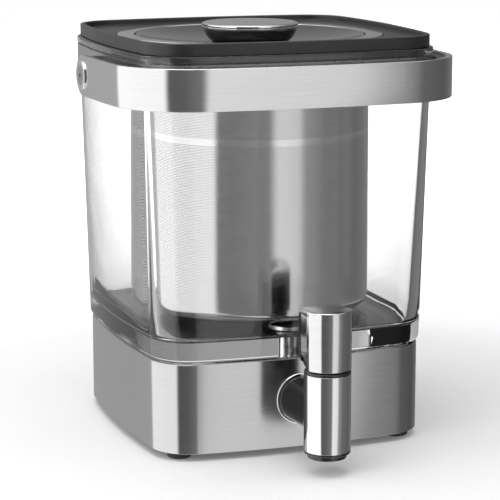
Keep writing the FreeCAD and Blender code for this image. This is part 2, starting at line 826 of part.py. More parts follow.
def lid_knob_screw():
    head_foot = "hub_foot - knob_screw_head_height"
    return turned("lid_knob_screw", [
        ("0", head_foot),
        ("knob_screw_head - 0.8", head_foot),
        ("knob_screw_head", f"{head_foot} + 0.8", "0.9", "left"),
        ("knob_screw_head", "hub_foot"),
        ("knob_screw_rad", "hub_foot"),
        ("knob_screw_rad", "dish_floor + knob_screw_bite - disc_wall"),
        ("0", "dish_floor + knob_screw_bite - disc_wall")])


# Base


def base_shell():
    """Drawn steel shell, open below, with a flange turned in under the glass."""
    body = new_body("base_shell")
    outside = plan_block(body, "base_half", "base_corner", "foot_height", "base_height")
    round_edges(body, outside, "edge_round * 0.7", lies_at("Z", value("base_top")))
    inside = new_sketch(body, "XY_Plane", "foot_height - 1")
    rounded_plan(inside, "base_half - shell_wall", "base_corner - shell_wall", "side_bow - shell_wall")
    pocket(body, inside, "base_height - shell_wall + 1", backwards=True)
    plan_cut(body, "base_half - shell_flange", "base_corner - shell_flange",
             "base_top + 1", "shell_wall + 2")
    hole = new_sketch(body, "XZ_Plane", "base_half + 2")
    circle(hole, "shank_rad + fit_gap", "0", "arm_height")
    pocket(body, hole, "shell_wall + 6")
    return body


def jar_support():
    """Moulded tray: plateau under the glass, skirt, screw bosses, drain and shank holes."""
    body = new_body("jar_support")
    under = "tray_top - tray_wall"
    plan_block(body, "tray_half", "tray_corner", "plate_top", "tray_top - plate_top")
    plan_block(body, "plateau_half", "plateau_corner", "tray_top", "plateau_top - tray_top")
    hollow = new_sketch(body, "XY_Plane", "plate_top - 1")
    rounded_plan(hollow, "skirt_inner", "tray_corner - tray_skirt")
    pocket(body, hollow, f"{under} - plate_top + 1", backwards=True)
    for x_sign, y_sign in CORNERS:
        round_block(body, "tray_boss_rad", "plate_top", f"{under} - plate_top",
                    f"{x_sign} * base_screw_spread", f"{y_sign} * base_screw_spread")
    for x_sign, y_sign in CORNERS:
        pilot = new_sketch(body, "XY_Plane", "plate_top")
        circle(pilot, "base_screw_rad", f"{x_sign} * base_screw_spread", f"{y_sign} * base_screw_spread")
        pocket(body, pilot, "base_screw_bite + 1", backwards=True)
    groove = new_sketch(body, "XY_Plane", "plateau_top")
    rounded_plan(groove, "cushion_half", "plateau_corner")
    rounded_plan(groove, "cushion_half - cushion_width", "plateau_corner - cushion_width / 2")
    pocket(body, groove, "plateau_top - cushion_foot")
    round_cut(body, "tray_drain_rad", "plateau_top + 1", "tray_wall + 8", "0", "-drain_y")
    hole = new_sketch(body, "XZ_Plane", "tray_half + 2")
    circle(hole, "shank_rad + fit_gap", "0", "arm_height")
    pocket(body, hole, "tray_skirt + 6")
    return body


def jar_cushion():
    body = new_body("jar_cushion")
    plan_block(body, "cushion_half", "plateau_corner", "cushion_foot", "cushion_height")
    plan_cut(body, "cushion_half - cushion_width", "plateau_corner - cushion_width / 2",
             "glass_foot + 1", "cushion_height + 2")
    round_cut(body, "tray_drain_rad", "glass_foot + 1", "cushion_height + 2", "0", "-drain_y")
    return body


def base_plate():
    body = new_body("base_plate")
    plan_block(body, "tray_half", "tray_corner", "plate_foot", "plate_wall")
    round_cuts_at_corners(body, "foot_peg_rad", "plate_top + 1", "plate_wall + 2", "foot_spread")
    round_cuts_at_corners(body, "base_screw_rad", "plate_top + 1", "plate_wall + 2",
                          "base_screw_spread")
    for x_sign, y_sign in CORNERS:
        seat = new_sketch(body, "XY_Plane", "plate_foot")
        circle(seat, "base_screw_head + 0.2", f"{x_sign} * base_screw_spread",
               f"{y_sign} * base_screw_spread")
        pocket(body, seat, "base_screw_head_height", backwards=True)
    return body


def placed_turned(label, points, x_text, y_text):
    body = turned(label, points)
    drive(body, "Placement.Base.x", x_text)
    drive(body, "Placement.Base.y", y_text)
    return body


def base_feet():
    foot = placed_turned("foot_one", [
        ("0", "0"),
        ("foot_rad - 1.4", "0"),
        ("foot_rad", "1.4", "1.5", "left"),
        ("foot_rad", "plate_foot"),
        ("foot_peg_rad", "plate_foot"),
        ("foot_peg_rad", "plate_top"),
        ("foot_barb_rad", "plate_top"),
        ("foot_barb_rad", "plate_top + 0.5"),
        ("foot_peg_rad - 0.5", "plate_top + foot_barb_height"),
        ("0", "plate_top + foot_barb_height")], "foot_spread", "foot_spread")
    return at_four_corners("base_feet", foot)


def base_screws():
    seat = "plate_foot + base_screw_head_height"
    screw = placed_turned("base_screw_one", [
        ("0", "plate_foot + 0.2"),
        ("base_screw_head", "plate_foot + 0.2"),
        ("base_screw_head", seat),
        ("base_screw_rad", seat),
        ("base_screw_rad", "plate_top + base_screw_bite"),
        ("0", "plate_top + base_screw_bite")], "base_screw_spread", "base_screw_spread")
    return at_four_corners("base_screws", screw)


# Drain and outlet


def drain_fitting():
    """Flanged tube through the glass floor, with a barb for the elbow."""
    barb_foot = "elbow_top - barb_length"
    return placed_turned("drain_fitting", [
        ("flow_rad", barb_foot),
        ("barb_rad - 0.6", barb_foot),
        ("barb_rad", f"{barb_foot} + 1"),
        ("barb_rad", "elbow_top"),
        ("drain_rad", "elbow_top"),
        ("drain_rad", "drain_seat"),
        ("drain_flange_rad", "drain_seat"),
        ("drain_flange_rad - 0.8", "drain_seat + drain_flange"),
        ("flow_rad + 1", "drain_seat + drain_flange"),
        ("flow_rad", "drain_seat + drain_flange - 1")], "0", "-drain_y")


def drain_gaskets():
    rings = []
    for name, low in (("gasket_in_well", "well_floor"), ("gasket_below", "drain_nut_top")):
        high = f"{low} + drain_gasket"
        rings.append(placed_turned(name, [
            ("drain_rad", low), ("drain_flange_rad", low),
            ("drain_flange_rad", high), ("drain_rad", high)], "0", "-drain_y"))
    return grouped("drain_gaskets", rings)


def drain_nut():
    body = new_body("drain_nut")
    sketch = new_sketch(body, "XY_Plane", "drain_nut_top - drain_nut_height")
    hexagon(sketch, "drain_nut_flats")
    circle(sketch, "drain_rad")
    pad(body, sketch, "drain_nut_height")
    drive(body, "Placement.Base.y", "-drain_y")
    return body


def outlet_elbow():
    """Soft tube that turns from the drain's barb to the shank's barb."""
    body = new_body("outlet_elbow")
    bend_top = "arm_height + elbow_bend"
    bend_y = "-drain_y - elbow_bend"
    for radius, cut in (("barb_rad + elbow_wall", False), ("barb_rad", True)):
        path = new_sketch(body, "YZ_Plane")
        outline(path, [
            ("-drain_y", "elbow_top"), ("-drain_y", bend_top),
            (bend_y, "arm_height", "elbow_bend", "right"),
            ("-elbow_mouth", "arm_height")], closed=False)
        ring = new_sketch(body, "XY_Plane", "elbow_top")
        circle(ring, radius, "0", "-drain_y")
        kind = "PartDesign::SubtractivePipe" if cut else "PartDesign::AdditivePipe"
        tube = body.newObject(kind, "elbow_tube")
        tube.Profile = ring
        tube.Spine = (path, [])
    return body


# Tap, modelled about its own upright axis


def set_at_tap(body):
    drive(body, "Placement.Base.y", "-tap_reach")
    return body


def cross_disc(body, radius, place, length, height="arm_height", cut=False):
    """A disc or bore along Y that starts at a y place and runs back towards the base."""
    sketch = new_sketch(body, "XZ_Plane", f"-({place})")
    circle(sketch, radius, "0", height)
    if cut:
        return pocket(body, sketch, length)
    return pad(body, sketch, length, backwards=True)


def tap_body():
    """Column, blended arm and threaded shank, bored through for the flow and the valve."""
    body = new_body("tap_body")
    height = "column_top - column_bottom"
    round_block(body, "column_rad - sleeve_wall", "column_bottom", height)
    back = new_sketch(body, "XY_Plane", "column_bottom")
    edge_x = "sqrt(column_rad * column_rad - (sleeve_back + fit_gap) * (sleeve_back + fit_gap))"
    outline(back, [
        (edge_x, "sleeve_back + fit_gap"),
        ("0", "column_rad", "column_rad", "left"),
        (f"-{edge_x}", "sleeve_back + fit_gap", "column_rad", "left")])
    pad(body, back, height)
    round_block(body, "column_rad", "column_bottom", "sleeve_bottom - fit_gap - column_bottom")
    round_block(body, "column_rad", "sleeve_top + fit_gap", "column_top - sleeve_top - fit_gap")
    root = new_sketch(body, "XZ_Plane", "-(tap_face - washer_wall)")
    circle(root, "arm_root_rad", "0", "arm_height")
    tip = new_sketch(body, "XZ_Plane", "-column_rad / 3")
    circle(tip, "arm_tip_rad", "0", "arm_height")
    arm = loft(body, [root, tip])
    doc.recompute()
    low, high = value("column_rad * 0.6"), value("column_rad + 2")
    arm = round_edges(body, arm, "arm_blend", lambda edge: (
        edge.BoundBox.YMax < high and edge.BoundBox.YMin > value("sleeve_back + 1")
        and edge.BoundBox.ZLength > 2 and edge.BoundBox.YMax > low
        and edge.BoundBox.ZMax < value("arm_height + arm_root_rad")))
    arm = round_edges(body, arm, "0.9", lambda edge: (
        lies_at("Z", value("column_top"))(edge) or lies_at("Z", value("column_bottom"))(edge)))
    cross_disc(body, "shank_rad", "tap_face - washer_wall", "washer_wall + shank_length")
    cross_disc(body, "barb_rad", "tap_face + shank_length - 0.5", "barb_length + 0.5")
    flow = new_sketch(body, "XZ_Plane", "0")
    circle(flow, "flow_rad", "0", "arm_height")
    pocket(body, flow, "tap_face + shank_length + barb_length + 1")
    round_cut(body, "chamber_rad", "column_top + 1", "column_top - seat_z + 1")
    round_cut(body, "seat_bore_rad", "column_top", "column_top - column_bottom + 1")
    round_cut(body, "spout_plug_rad", "spout_top", "spout_plug + 1")
    return set_at_tap(body)


def tap_sleeve():
    """Polished half tube round the front of the column."""
    body = new_body("tap_sleeve")
    sketch = new_sketch(body, "XY_Plane", "sleeve_bottom")
    outer, inner = "column_rad", "column_rad - sleeve_wall + 0.02"
    points = []
    for radius, sign, turn in ((outer, -1, None), (outer, 1, "left"), (inner, 1, None),
                               (inner, -1, "right")):
        x_text = f"{sign} * sqrt(({radius}) * ({radius}) - sleeve_back * sleeve_back)"
        points.append((radius, x_text, turn))
    path = [(points[0][1], "sleeve_back"),
            ("0", f"-({outer})", outer, "left"),
            (points[1][1], "sleeve_back", outer, "left"),
            (points[2][1], "sleeve_back"),
            ("0", f"-({inner})", inner, "right"),
            (points[3][1], "sleeve_back", inner, "right")]
    outline(sketch, path)
    pad(body, sketch, "sleeve_top - sleeve_bottom")
    return set_at_tap(body)


def tap_washer():
    body = new_body("tap_washer")
    sketch = new_sketch(body, "XZ_Plane", "-(tap_face - washer_wall)")
    circle(sketch, "washer_rad", "0", "arm_height")
    circle(sketch, "shank_rad", "0", "arm_height")
    feature = pad(body, sketch, "washer_wall", backwards=True)
    round_edges(body, feature, "washer_wall * 0.5", lambda edge: (
        lies_at("Y", value("tap_face - washer_wall"))(edge)
        and edge.BoundBox.XMax > value("washer_rad - 1")))
    return set_at_tap(body)


def tap_nut():
    body = new_body("tap_nut")
    sketch = new_sketch(body, "XZ_Plane", "-(tap_face + base_half - skirt_inner + fit_gap)")
    hexagon(sketch, "tap_nut_flats", "0", "arm_height")
    circle(sketch, "shank_rad", "0", "arm_height")
    pad(body, sketch, "tap_nut_height", backwards=True)
    return set_at_tap(body)


def tap_spout():
    body = turned("tap_spout", [
        ("spout_bore_rad", "spout_foot + 0.6"),
        ("spout_bore_rad + 0.6", "spout_foot"),
        ("spout_rad - 0.6", "spout_foot"),
        ("spout_rad", "spout_foot + 0.6", "0.6", "left"),
        ("spout_rad", "column_bottom"),
        ("spout_plug_rad", "column_bottom"),
        ("spout_plug_rad", "spout_top - fit_gap"),
        ("spout_bore_rad", "spout_top - fit_gap")])
    return set_at_tap(body)


def tap_bonnet():
    """Plug and flange with the stem's guide, and the lug that carries the lever."""
    body = turned("tap_bonnet", [
        ("stem_rad + running_gap", "bonnet_foot"),
        ("chamber_rad", "bonnet_foot"),
        ("chamber_rad", "column_top"),
        ("bonnet_rad", "column_top"),
        ("bonnet_rad", "bonnet_top"),
        ("stem_rad + running_gap", "bonnet_top")])
    lug = new_sketch(body, "YZ_Plane", "-lug_width / 2")
    front, back = "hinge_back - lug_rad", "hinge_back + lug_rad"
    outline(lug, [
        (front, "bonnet_top - bonnet_flange / 2"), (back, "bonnet_top - bonnet_flange / 2"),
        (back, "hinge_z"), ("hinge_back", "hinge_z + lug_rad", "lug_rad", "left"),
        (front, "hinge_z", "lug_rad", "left")])
    circle(lug, "cross_pin_rad + running_gap", "hinge_back", "hinge_z")
    pad(body, lug, "lug_width")
    return set_at_tap(body)


def valve_stem():
    """Rod with a collar over the seal and a slotted eye at the lever."""
    body = turned("valve_stem", [
        ("0", "seal_foot + 1"),
        ("stem_rad", "seal_foot + 1"),
        ("stem_rad", "seal_foot + seal_thick"),
        ("stem_rad + 2", "seal_foot + seal_thick"),
        ("stem_rad + 2", "seal_foot + seal_thick + 1.4"),
        ("stem_rad", "seal_foot + seal_thick + 1.4"),
        ("stem_rad", "bonnet_top + 1"),
        ("0", "bonnet_top + 1")])
    eye = new_sketch(body, "YZ_Plane", "-eye_width / 2")
    top, foot = "hinge_z + eye_height", "bonnet_top + fit_gap"
    outline(eye, [
        ("-eye_front", foot), ("eye_back", foot), ("eye_back", f"{top} - 1"),
        ("eye_back - 1", top, "1", "left"), ("1 - eye_front", top),
        ("-eye_front", f"{top} - 1", "1", "left")])
    pad(body, eye, "eye_width")
    slot = new_sketch(body, "YZ_Plane", "-eye_width / 2 - 1")
    reach = "(cross_pin_rad + 0.12)"
    travel = "hinge_back * (1 - cos(lever_swing)) + 0.05"
    outline(slot, [
        (travel, f"hinge_z - {reach}"),
        (f"{travel} + {reach}", "hinge_z", reach, "left"),
        (travel, f"hinge_z + {reach}", reach, "left"),
        ("0", f"hinge_z + {reach}"),
        (f"-{reach}", "hinge_z", reach, "left"),
        ("0", f"hinge_z - {reach}", reach, "left")])
    pocket(body, slot, "eye_width + 2", backwards=True)
    return set_at_tap(body)


def valve_seal():
    body = turned("valve_seal", [
        ("0", "seal_foot"),
        ("seat_bore_rad - 0.6", "seal_foot"),
        ("seal_rad", "seal_foot + 1.2"),
        ("seal_rad", "seal_foot + seal_thick"),
        ("stem_rad", "seal_foot + seal_thick"),
        ("stem_rad", "seal_foot + 1"),
        ("0", "seal_foot + 1")])
    return set_at_tap(body)


def valve_spring():
    """Helix between the stem's collar and the bonnet."""
    wire = value("spring_wire")
    low = value("seal_foot + seal_thick + 1.4") + wire / 2 + 0.1
    high = value("bonnet_foot") - wire / 2 - 0.1
    turns = value("spring_turns")
    radius = value("spring_rad")
    helix = Part.makeHelix((high - low) / turns, high - low, radius)
    ring = Part.Wire(Part.makeCircle(wire / 2, Vector(radius, 0, 0), Vector(0, 1, 0)))
    spring = doc.addObject("Part::Feature", "valve_spring")
    spring.Label = "valve_spring"
    spring.Shape = Part.Wire(helix).makePipeShell([ring], True, True)
    spring.Placement = FreeCAD.Placement(Vector(0, -value("tap_reach"), low), FreeCAD.Rotation())
    return spring


def cut_heel(body):
    sketch = new_sketch(body, "YZ_Plane", "lever_rad + 4")
    rise = "lever_foot + heel_rise"
    far = "lever_back + 6"
    outline(sketch, [
        ("-heel_front", "lever_foot", "heel_bow", "right"),
        ("-heel_front", "lever_foot - 2"), (far, "lever_foot - 2"), (far, rise),
        ("lever_back + 0.1", rise)])
    return pocket(body, sketch, "2 * lever_rad + 8")


def tap_lever():
    """Plastic core: round front under the shell, wider back plate, slot for eye and lug."""
    body = new_body("tap_lever")
    plan = new_sketch(body, "XY_Plane", "lever_foot")
    core, wide = "(lever_core_rad - 0.05)", "(lever_rad - 0.2)"
    step = "lever_side + seam_gap"
    outline(plan, [
        (f"-{core}", "0"), ("0", f"-{core}", core, "left"), (core, "0", core, "left"),
        (core, step), (wide, step), (wide, "lever_back - lever_corner"),
        (f"{wide} - lever_corner", "lever_back", "lever_corner", "left"),
        (f"lever_corner - {wide}", "lever_back"),
        (f"-{wide}", "lever_back - lever_corner", "lever_corner", "left"),
        (f"-{wide}", step), (f"-{core}", step)])
    pad(body, plan, "lever_core_top - lever_foot")
    cut_heel(body)
    slot = new_sketch(body, "XY_Plane", "lever_foot - 1")
    outline(slot, [
        ("-lug_width / 2 - fit_gap", "-eye_front - 2.4"), ("lug_width / 2 + fit_gap", "-eye_front - 2.4"),
        ("lug_width / 2 + fit_gap", "hinge_back + lug_rad + 0.6"),
        ("-lug_width / 2 - fit_gap", "hinge_back + lug_rad + 0.6")])
    pocket(body, slot, "hinge_z - lever_foot + eye_height + 3.4", backwards=True)
    holes = new_sketch(body, "YZ_Plane", "lever_rad + 2")
    circle(holes, "cross_pin_rad", "hinge_back", "hinge_z")
    circle(holes, "cross_pin_rad", "0", "hinge_z")
    pocket(body, holes, "2 * lever_rad + 4")
    return set_at_tap(body)


def tap_lever_shell():
    """Steel shell round the front and sides, closed by a domed top over the back plate."""
    body = new_body("tap_lever_shell")
    full = "lever_top - lever_foot"
    plan = new_sketch(body, "XY_Plane", "lever_foot")
    outline(plan, [
        ("-lever_rad", "0"), ("0", "-lever_rad", "lever_rad", "left"),
        ("lever_rad", "0", "lever_rad", "left"),
        ("lever_rad", "lever_side"), ("-lever_rad", "lever_side")])
    pad(body, plan, full)
    roof = new_sketch(body, "XY_Plane", "lever_core_top")
    outline(roof, [
        ("-lever_rad", "0"), ("lever_rad", "0"), ("lever_rad", "lever_back - lever_corner"),
        ("lever_rad - lever_corner", "lever_back", "lever_corner", "left"),
        ("lever_corner - lever_rad", "lever_back"),
        ("-lever_rad", "lever_back - lever_corner", "lever_corner", "left")])
    pad(body, roof, "lever_top - lever_core_top")
    dome = new_sketch(body, "XZ_Plane")
    far = "(lever_rad * 2)"
    drop = f"lever_top - lever_dome + sqrt(lever_dome * lever_dome - {far} * {far})"
    outline(dome, [
        ("0", "lever_top + 20"), ("0", "lever_top"), (far, drop, "lever_dome", "right"),
        (far, "lever_top + 20")])
    spin(body, dome, cut=True)
    inside = new_sketch(body, "XY_Plane", "lever_foot - 1")
    outline(inside, [
        ("-lever_core_rad", "0"), ("0", "-lever_core_rad", "lever_core_rad", "left"),
        ("lever_core_rad", "0", "lever_core_rad", "left"),
        ("lever_core_rad", "lever_side + 1"), ("-lever_core_rad", "lever_side + 1")])
    pocket(body, inside, "lever_core_top - lever_foot + 1", backwards=True)
    cut_heel(body)
    return set_at_tap(body)


def cross_pin(label, y_text):
    body = new_body(label)
    reach = "(lever_core_rad - 1.4)"
    sketch = new_sketch(body, "YZ_Plane", f"-{reach}")
    circle(sketch, "cross_pin_rad", y_text, "hinge_z")
    pad(body, sketch, f"2 * {reach}")
    return set_at_tap(body)


SUBPARTS = [
    brew_jar(), neck_band(), handle_strap(), handle_grip(), handle_washers(),
    handle_pivot_screws(), handle_spacers(), handle_stop_pins(),
    jar_lid(), lid_gasket(), steeper_basket(), steeper_rim(), steeper_lid(),
    steeper_lid_seal(), lid_knob_body(), lid_knob_cap(), lid_knob_screw(),
    base_shell(), jar_support(), jar_cushion(), base_plate(), base_feet(), base_screws(),
    drain_fitting(), drain_gaskets(), drain_nut(), outlet_elbow(),
    tap_body(), tap_sleeve(), tap_washer(), tap_nut(), tap_spout(), tap_bonnet(),
    valve_stem(), valve_seal(), valve_spring(), tap_lever(), tap_lever_shell(),
    cross_pin("lever_hinge_pin", "hinge_back"), cross_pin("lever_link_pin", "0"),
]
doc.recompute()

for thing in doc.Objects:
    faults = [state for state in thing.State if state in ("Invalid", "Error")]
    if faults:
        raise RuntimeError(f"{thing.Label} is {faults}")
for piece in SUBPARTS:
    if piece.Shape.isNull() or not piece.Shape.isValid():
        raise RuntimeError(f"{piece.Label} has no valid shape")

os.makedirs("parts", exist_ok=True)
for piece in SUBPARTS:
    piece.Shape.exportStep(f"parts/{piece.Label}.step")
    box = piece.Shape.BoundBox
    print(f"{piece.Label}: {len(piece.Shape.Solids)} solid(s), {piece.Shape.Volume / 1000:.2f} cm3, "
          f"z {box.ZMin:.1f} to {box.ZMax:.1f}")
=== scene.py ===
# %% [markdown]
# A cold brew coffee maker stands on a pale floor: a tapered glass jar on a steel base, a steel
# steeper hanging from a black lid, a flat steel bail folded down to the front and a lever tap.
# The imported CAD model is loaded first. It gives every piece its place and every moving piece its
# body, so this script only has to dress it: fresh meshes for the large smooth pieces, where the
# light shows every flat spot, and finishes for the small CAD pieces that are good as they are.

import json
from math import atan2, cos, degrees, pi, radians, sin, sqrt, tan

import bmesh
import bpy
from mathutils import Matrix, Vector


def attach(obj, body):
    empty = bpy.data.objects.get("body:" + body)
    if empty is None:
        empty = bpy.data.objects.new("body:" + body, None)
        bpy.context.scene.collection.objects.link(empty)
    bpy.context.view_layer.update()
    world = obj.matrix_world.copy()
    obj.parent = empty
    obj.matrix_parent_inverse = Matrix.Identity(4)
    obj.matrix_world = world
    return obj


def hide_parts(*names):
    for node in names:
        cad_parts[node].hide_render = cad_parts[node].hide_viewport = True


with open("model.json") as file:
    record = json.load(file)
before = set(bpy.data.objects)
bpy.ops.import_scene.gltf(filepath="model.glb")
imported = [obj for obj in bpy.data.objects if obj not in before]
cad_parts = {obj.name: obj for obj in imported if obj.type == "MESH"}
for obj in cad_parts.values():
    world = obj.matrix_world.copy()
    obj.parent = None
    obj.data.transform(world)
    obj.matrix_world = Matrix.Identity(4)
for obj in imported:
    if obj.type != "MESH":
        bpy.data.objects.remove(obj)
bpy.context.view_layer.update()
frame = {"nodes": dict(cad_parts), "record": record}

# %% [markdown]
# The sizes of the visible pieces follow. They are written in millimetres, as a maker would give
# them, and one small function turns them into Blender's metres. Keeping them together means that
# a piece and the one that it rests on always share the same number.

# %% Sizes in millimetres
MM = 0.001
SIDE_BOW = 535.0
BASE_HALF, BASE_CORNER, BASE_FOOT, BASE_TOP = 87.3, 24.8, 4.5, 58.0
GLASS_FOOT, GLASS_TOP, GLASS_BEAD = 58.3, 235.4, 230.9
GLASS_LOW_HALF, GLASS_HIGH_HALF, GLASS_CORNER = 88.4, 92.7, 26.0
WELL_FLOOR, WELL_LOW_HALF, WELL_HIGH_HALF = 69.5, 82.0, 89.7
LID_HALF, LID_CORNER, LID_FOOT, LID_TOP, SHELF = 92.1, 27.35, 235.7, 242.6, 239.3
PIVOT_Z, STRAP_HALF, STRAP_CORNER, STRAP_BOW = 217.85, 105.7, 46.6, 737.0
TAP_Y, COLUMN_RAD = -128.5, 13.4
LEVER_FOOT, LEVER_TOP, LEVER_DOME = 61.5, 97.3, 45.0
DRAIN_Y, DRAIN_HOLE = -62.2, 8.1
print("jar is", round(GLASS_TOP - GLASS_FOOT, 1), "mm tall on a base", 2 * BASE_HALF, "mm wide")

# %% [markdown]
# Nearly every large piece of this object has the same outline: a square with gently bowed sides
# and round corners. A cube with a bevel can't give the bow, and a subdivided square gives no
# exact radius. Four long arcs and four short ones, tangent to each other, give both. Each outline
# has the same number of points, so two outlines of different size can be skinned together.

# %% The bowed square outline
SIDE_STEPS, CORNER_STEPS = 24, 16


def bowed_plan(half, corner, z, bow=SIDE_BOW):
    """Points round a square with bowed sides, from the +X side anticlockwise, in mm."""
    middle = half - bow
    reach = bow - corner
    centre = (middle + sqrt(2 * reach * reach - middle * middle)) / 2
    swing = atan2(centre, centre - middle)
    points = []
    for quarter in range(4):
        turn = quarter * pi / 2
        for step in range(SIDE_STEPS):
            angle = turn - swing + 2 * swing * step / SIDE_STEPS
            points.append((middle * cos(turn) + bow * cos(angle),
                           middle * sin(turn) + bow * sin(angle), z))
        span = centre * sqrt(2)
        for step in range(CORNER_STEPS):
            angle = turn + swing + (pi / 2 - 2 * swing) * step / CORNER_STEPS
            points.append((span * cos(turn + pi / 4) + corner * cos(angle),
                           span * sin(turn + pi / 4) + corner * sin(angle), z))
    return points


plan_angles = [atan2(y, x) for x, y, _ in bowed_plan(WELL_LOW_HALF, 20.0, 0.0)]


def round_plan(radius, z, y=0.0):
    """A circle with the same number of points, which face the same ways as the outline's."""
    return [(radius * cos(a), y + radius * sin(a), z) for a in plan_angles]


print("points round each outline:", len(plan_angles))

# %% [markdown]
# Real edges are never sharp: a bent sheet or a moulding has a small radius that catches a line of
# light. A bevel modifier could add it afterwards, but on thin walls it pinches. Here the profile
# itself is eased before it is skinned: any profile point that carries a radius becomes an arc.

# %% Ease the corners of a profile
def eased(profile, steps=5, closed=True):
    """Turn each profile point (across, up, radius) into a short arc."""
    out = []
    for number, point in enumerate(profile):
        here = Vector(point[:2])
        inner = closed or 0 < number < len(profile) - 1
        if len(point) < 3 or not inner:
            out.append(tuple(here))
            continue
        back = (Vector(profile[number - 1][:2]) - here).normalized()
        on = (Vector(profile[(number + 1) % len(profile)][:2]) - here).normalized()
        angle = back.angle(on)
        reach = point[2] / tan(angle / 2)
        centre = here + (back + on).normalized() * point[2] / sin(angle / 2)
        first, last = here + back * reach - centre, here + on * reach - centre
        sweep = first.angle(last)
        for step in range(steps + 1):
            part = step / steps
            spoke = (first * sin((1 - part) * sweep) + last * sin(part * sweep)) / sin(sweep)
            out.append(tuple(centre + spoke))
    return out


print("a right-angled corner becomes", len(eased([(0, 0), (0, 1, 0.2), (1, 1)])) - 2, "points")

# %% [markdown]
# One function skins all of it: rings of points go in and a smooth mesh comes out. It also lays a
# map called grain over the surface, in millimetres along the ring and along the profile, so that
# a brushed or perforated finish can run the right way on every piece and at its true scale.

# %% Skin rings of points
def skin(name, rings, wrap=False, cap=False, lengthwise=False, crease=32):
    """Join rings of equal length into one smooth mesh object; points are in mm."""
    count = len(rings[0])
    build = bmesh.new()
    grain = build.loops.layers.uv.new("grain")
    rows = [[build.verts.new(Vector(p) * MM) for p in ring] for ring in rings]
    middle = [Vector(p) for p in max(rings, key=lambda r: sum(Vector(p[:2]).length for p in r))]
    around = [0.0]
    for step in range(count):
        around.append(around[-1] + (middle[(step + 1) % count] - middle[step]).length)
    along = [0.0]
    for ring, after in zip(rings, rings[1:] + rings[:1]):
        along.append(along[-1] + (Vector(after[0]) - Vector(ring[0])).length)
    last = len(rings) if wrap else len(rings) - 1
    for row in range(last):
        lower, upper = rows[row], rows[(row + 1) % len(rings)]
        for step in range(count):
            after = (step + 1) % count
            face = build.faces.new((lower[step], lower[after], upper[after], upper[step]))
            places = ((step, row), (step + 1, row), (step + 1, row + 1), (step, row + 1))
            for loop, (one, two) in zip(face.loops, places):
                spot = (around[one], along[two])
                loop[grain].uv = spot[::-1] if lengthwise else spot
    if cap:
        for row, flip in ((rows[0], True), (rows[-1], False)):
            face = build.faces.new(row[::-1] if flip else row)
            for loop in face.loops:
                loop[grain].uv = (loop.vert.co.x / MM, loop.vert.co.y / MM)
    bmesh.ops.remove_doubles(build, verts=build.verts, dist=1e-7)
    bmesh.ops.recalc_face_normals(build, faces=build.faces)
    mesh = bpy.data.meshes.new(name)
    build.to_mesh(mesh)
    build.free()
    mesh.shade_smooth()
    mesh.set_sharp_from_angle(angle=radians(crease))
    piece = bpy.data.objects.new(name, mesh)
    bpy.context.collection.objects.link(piece)
    print(name, "faces:", len(mesh.polygons))
    return piece


# %% [markdown]
# Two short helpers cover most pieces. The first gives a bowed wall whose profile is written as
# steps outwards from its outline. The second turns a profile about an upright axis, as a lathe
# would: a profile is quicker to read and to change than a stack of cylinders.

# %% Bowed walls and turned pieces
def bowed_rings(half, corner, profile, bow=SIDE_BOW):
    """One outline for each profile point (outwards, z), in mm."""
    return [bowed_plan(half + out, corner + out, z, bow + out) for out, z in profile]


def turned_piece(name, profile, y=0.0, steps=160, closed=True):
    """Turn (radius, z) points about the upright axis at y, in mm."""
    turns = [2 * pi * step / steps for step in range(steps)]
    rings = [[(max(r, 1e-5) * cos(a), y + max(r, 1e-5) * sin(a), z) for a in turns]
             for r, z in profile]
    return skin(name, rings, wrap=closed)


# %% [markdown]
# Now the finishes. Brushed sheet steel is drawn past an abrasive belt, so it carries fine lines
# that all run the same way. They blur a reflection across the lines but hardly along them, which
# gives the tall soft stripes on this base. The shader's anisotropy makes that blur, and two noises
# stretched along the grain vary it: the coarse one the roughness and colour, the fine one the
# height. The base gets a darker copy of the same steel, as painted shade for its darker reflections.

# %% Node helpers
def new_finish(name, colour, metallic, roughness, **sockets):
    """A material whose shader sockets hold the given plain numbers."""
    material = bpy.data.materials.new(name)
    material.use_nodes = True
    shader = material.node_tree.nodes["Principled BSDF"]
    shader.inputs["Base Color"].default_value = (*colour, 1)
    shader.inputs["Metallic"].default_value = metallic
    shader.inputs["Roughness"].default_value = roughness
    for socket, number in sockets.items():
        shader.inputs[socket.replace("_", " ")].default_value = number
    return material, shader


def add_node(material, kind, **settings):
    node = material.node_tree.nodes.new(kind)
    for name, setting in settings.items():
        setattr(node, name, setting)
    return node


def join(material, out_socket, in_socket):
    material.node_tree.links.new(out_socket, in_socket)


def place_on(material, grain=True, stretch=(1, 1, 1)):
    """Surface coordinates: the grain map in mm, or the object's own metres."""
    if grain:
        source = add_node(material, "ShaderNodeUVMap", uv_map="grain").outputs["UV"]
    else:
        source = add_node(material, "ShaderNodeTexCoord").outputs["Object"]
    mapping = add_node(material, "ShaderNodeMapping")
    mapping.inputs["Scale"].default_value = stretch
    join(material, source, mapping.inputs["Vector"])
    return mapping.outputs["Vector"]


def noise_on(material, vector, scale=1.0, detail=3.0, rough=0.55):
    noise = add_node(material, "ShaderNodeTexNoise")
    noise.inputs["Scale"].default_value = scale
    noise.inputs["Detail"].default_value = detail
    noise.inputs["Roughness"].default_value = rough
    join(material, vector, noise.inputs["Vector"])
    return noise.outputs["Fac"]


def spread(material, value, low, high, start=0.3, end=0.7):
    """Map a noise to the range that a socket needs."""
    node = add_node(material, "ShaderNodeMapRange")
    for socket, number in (("From Min", start), ("From Max", end), ("To Min", low), ("To Max", high)):
        node.inputs[socket].default_value = number
    join(material, value, node.inputs["Value"])
    return node.outputs["Result"]


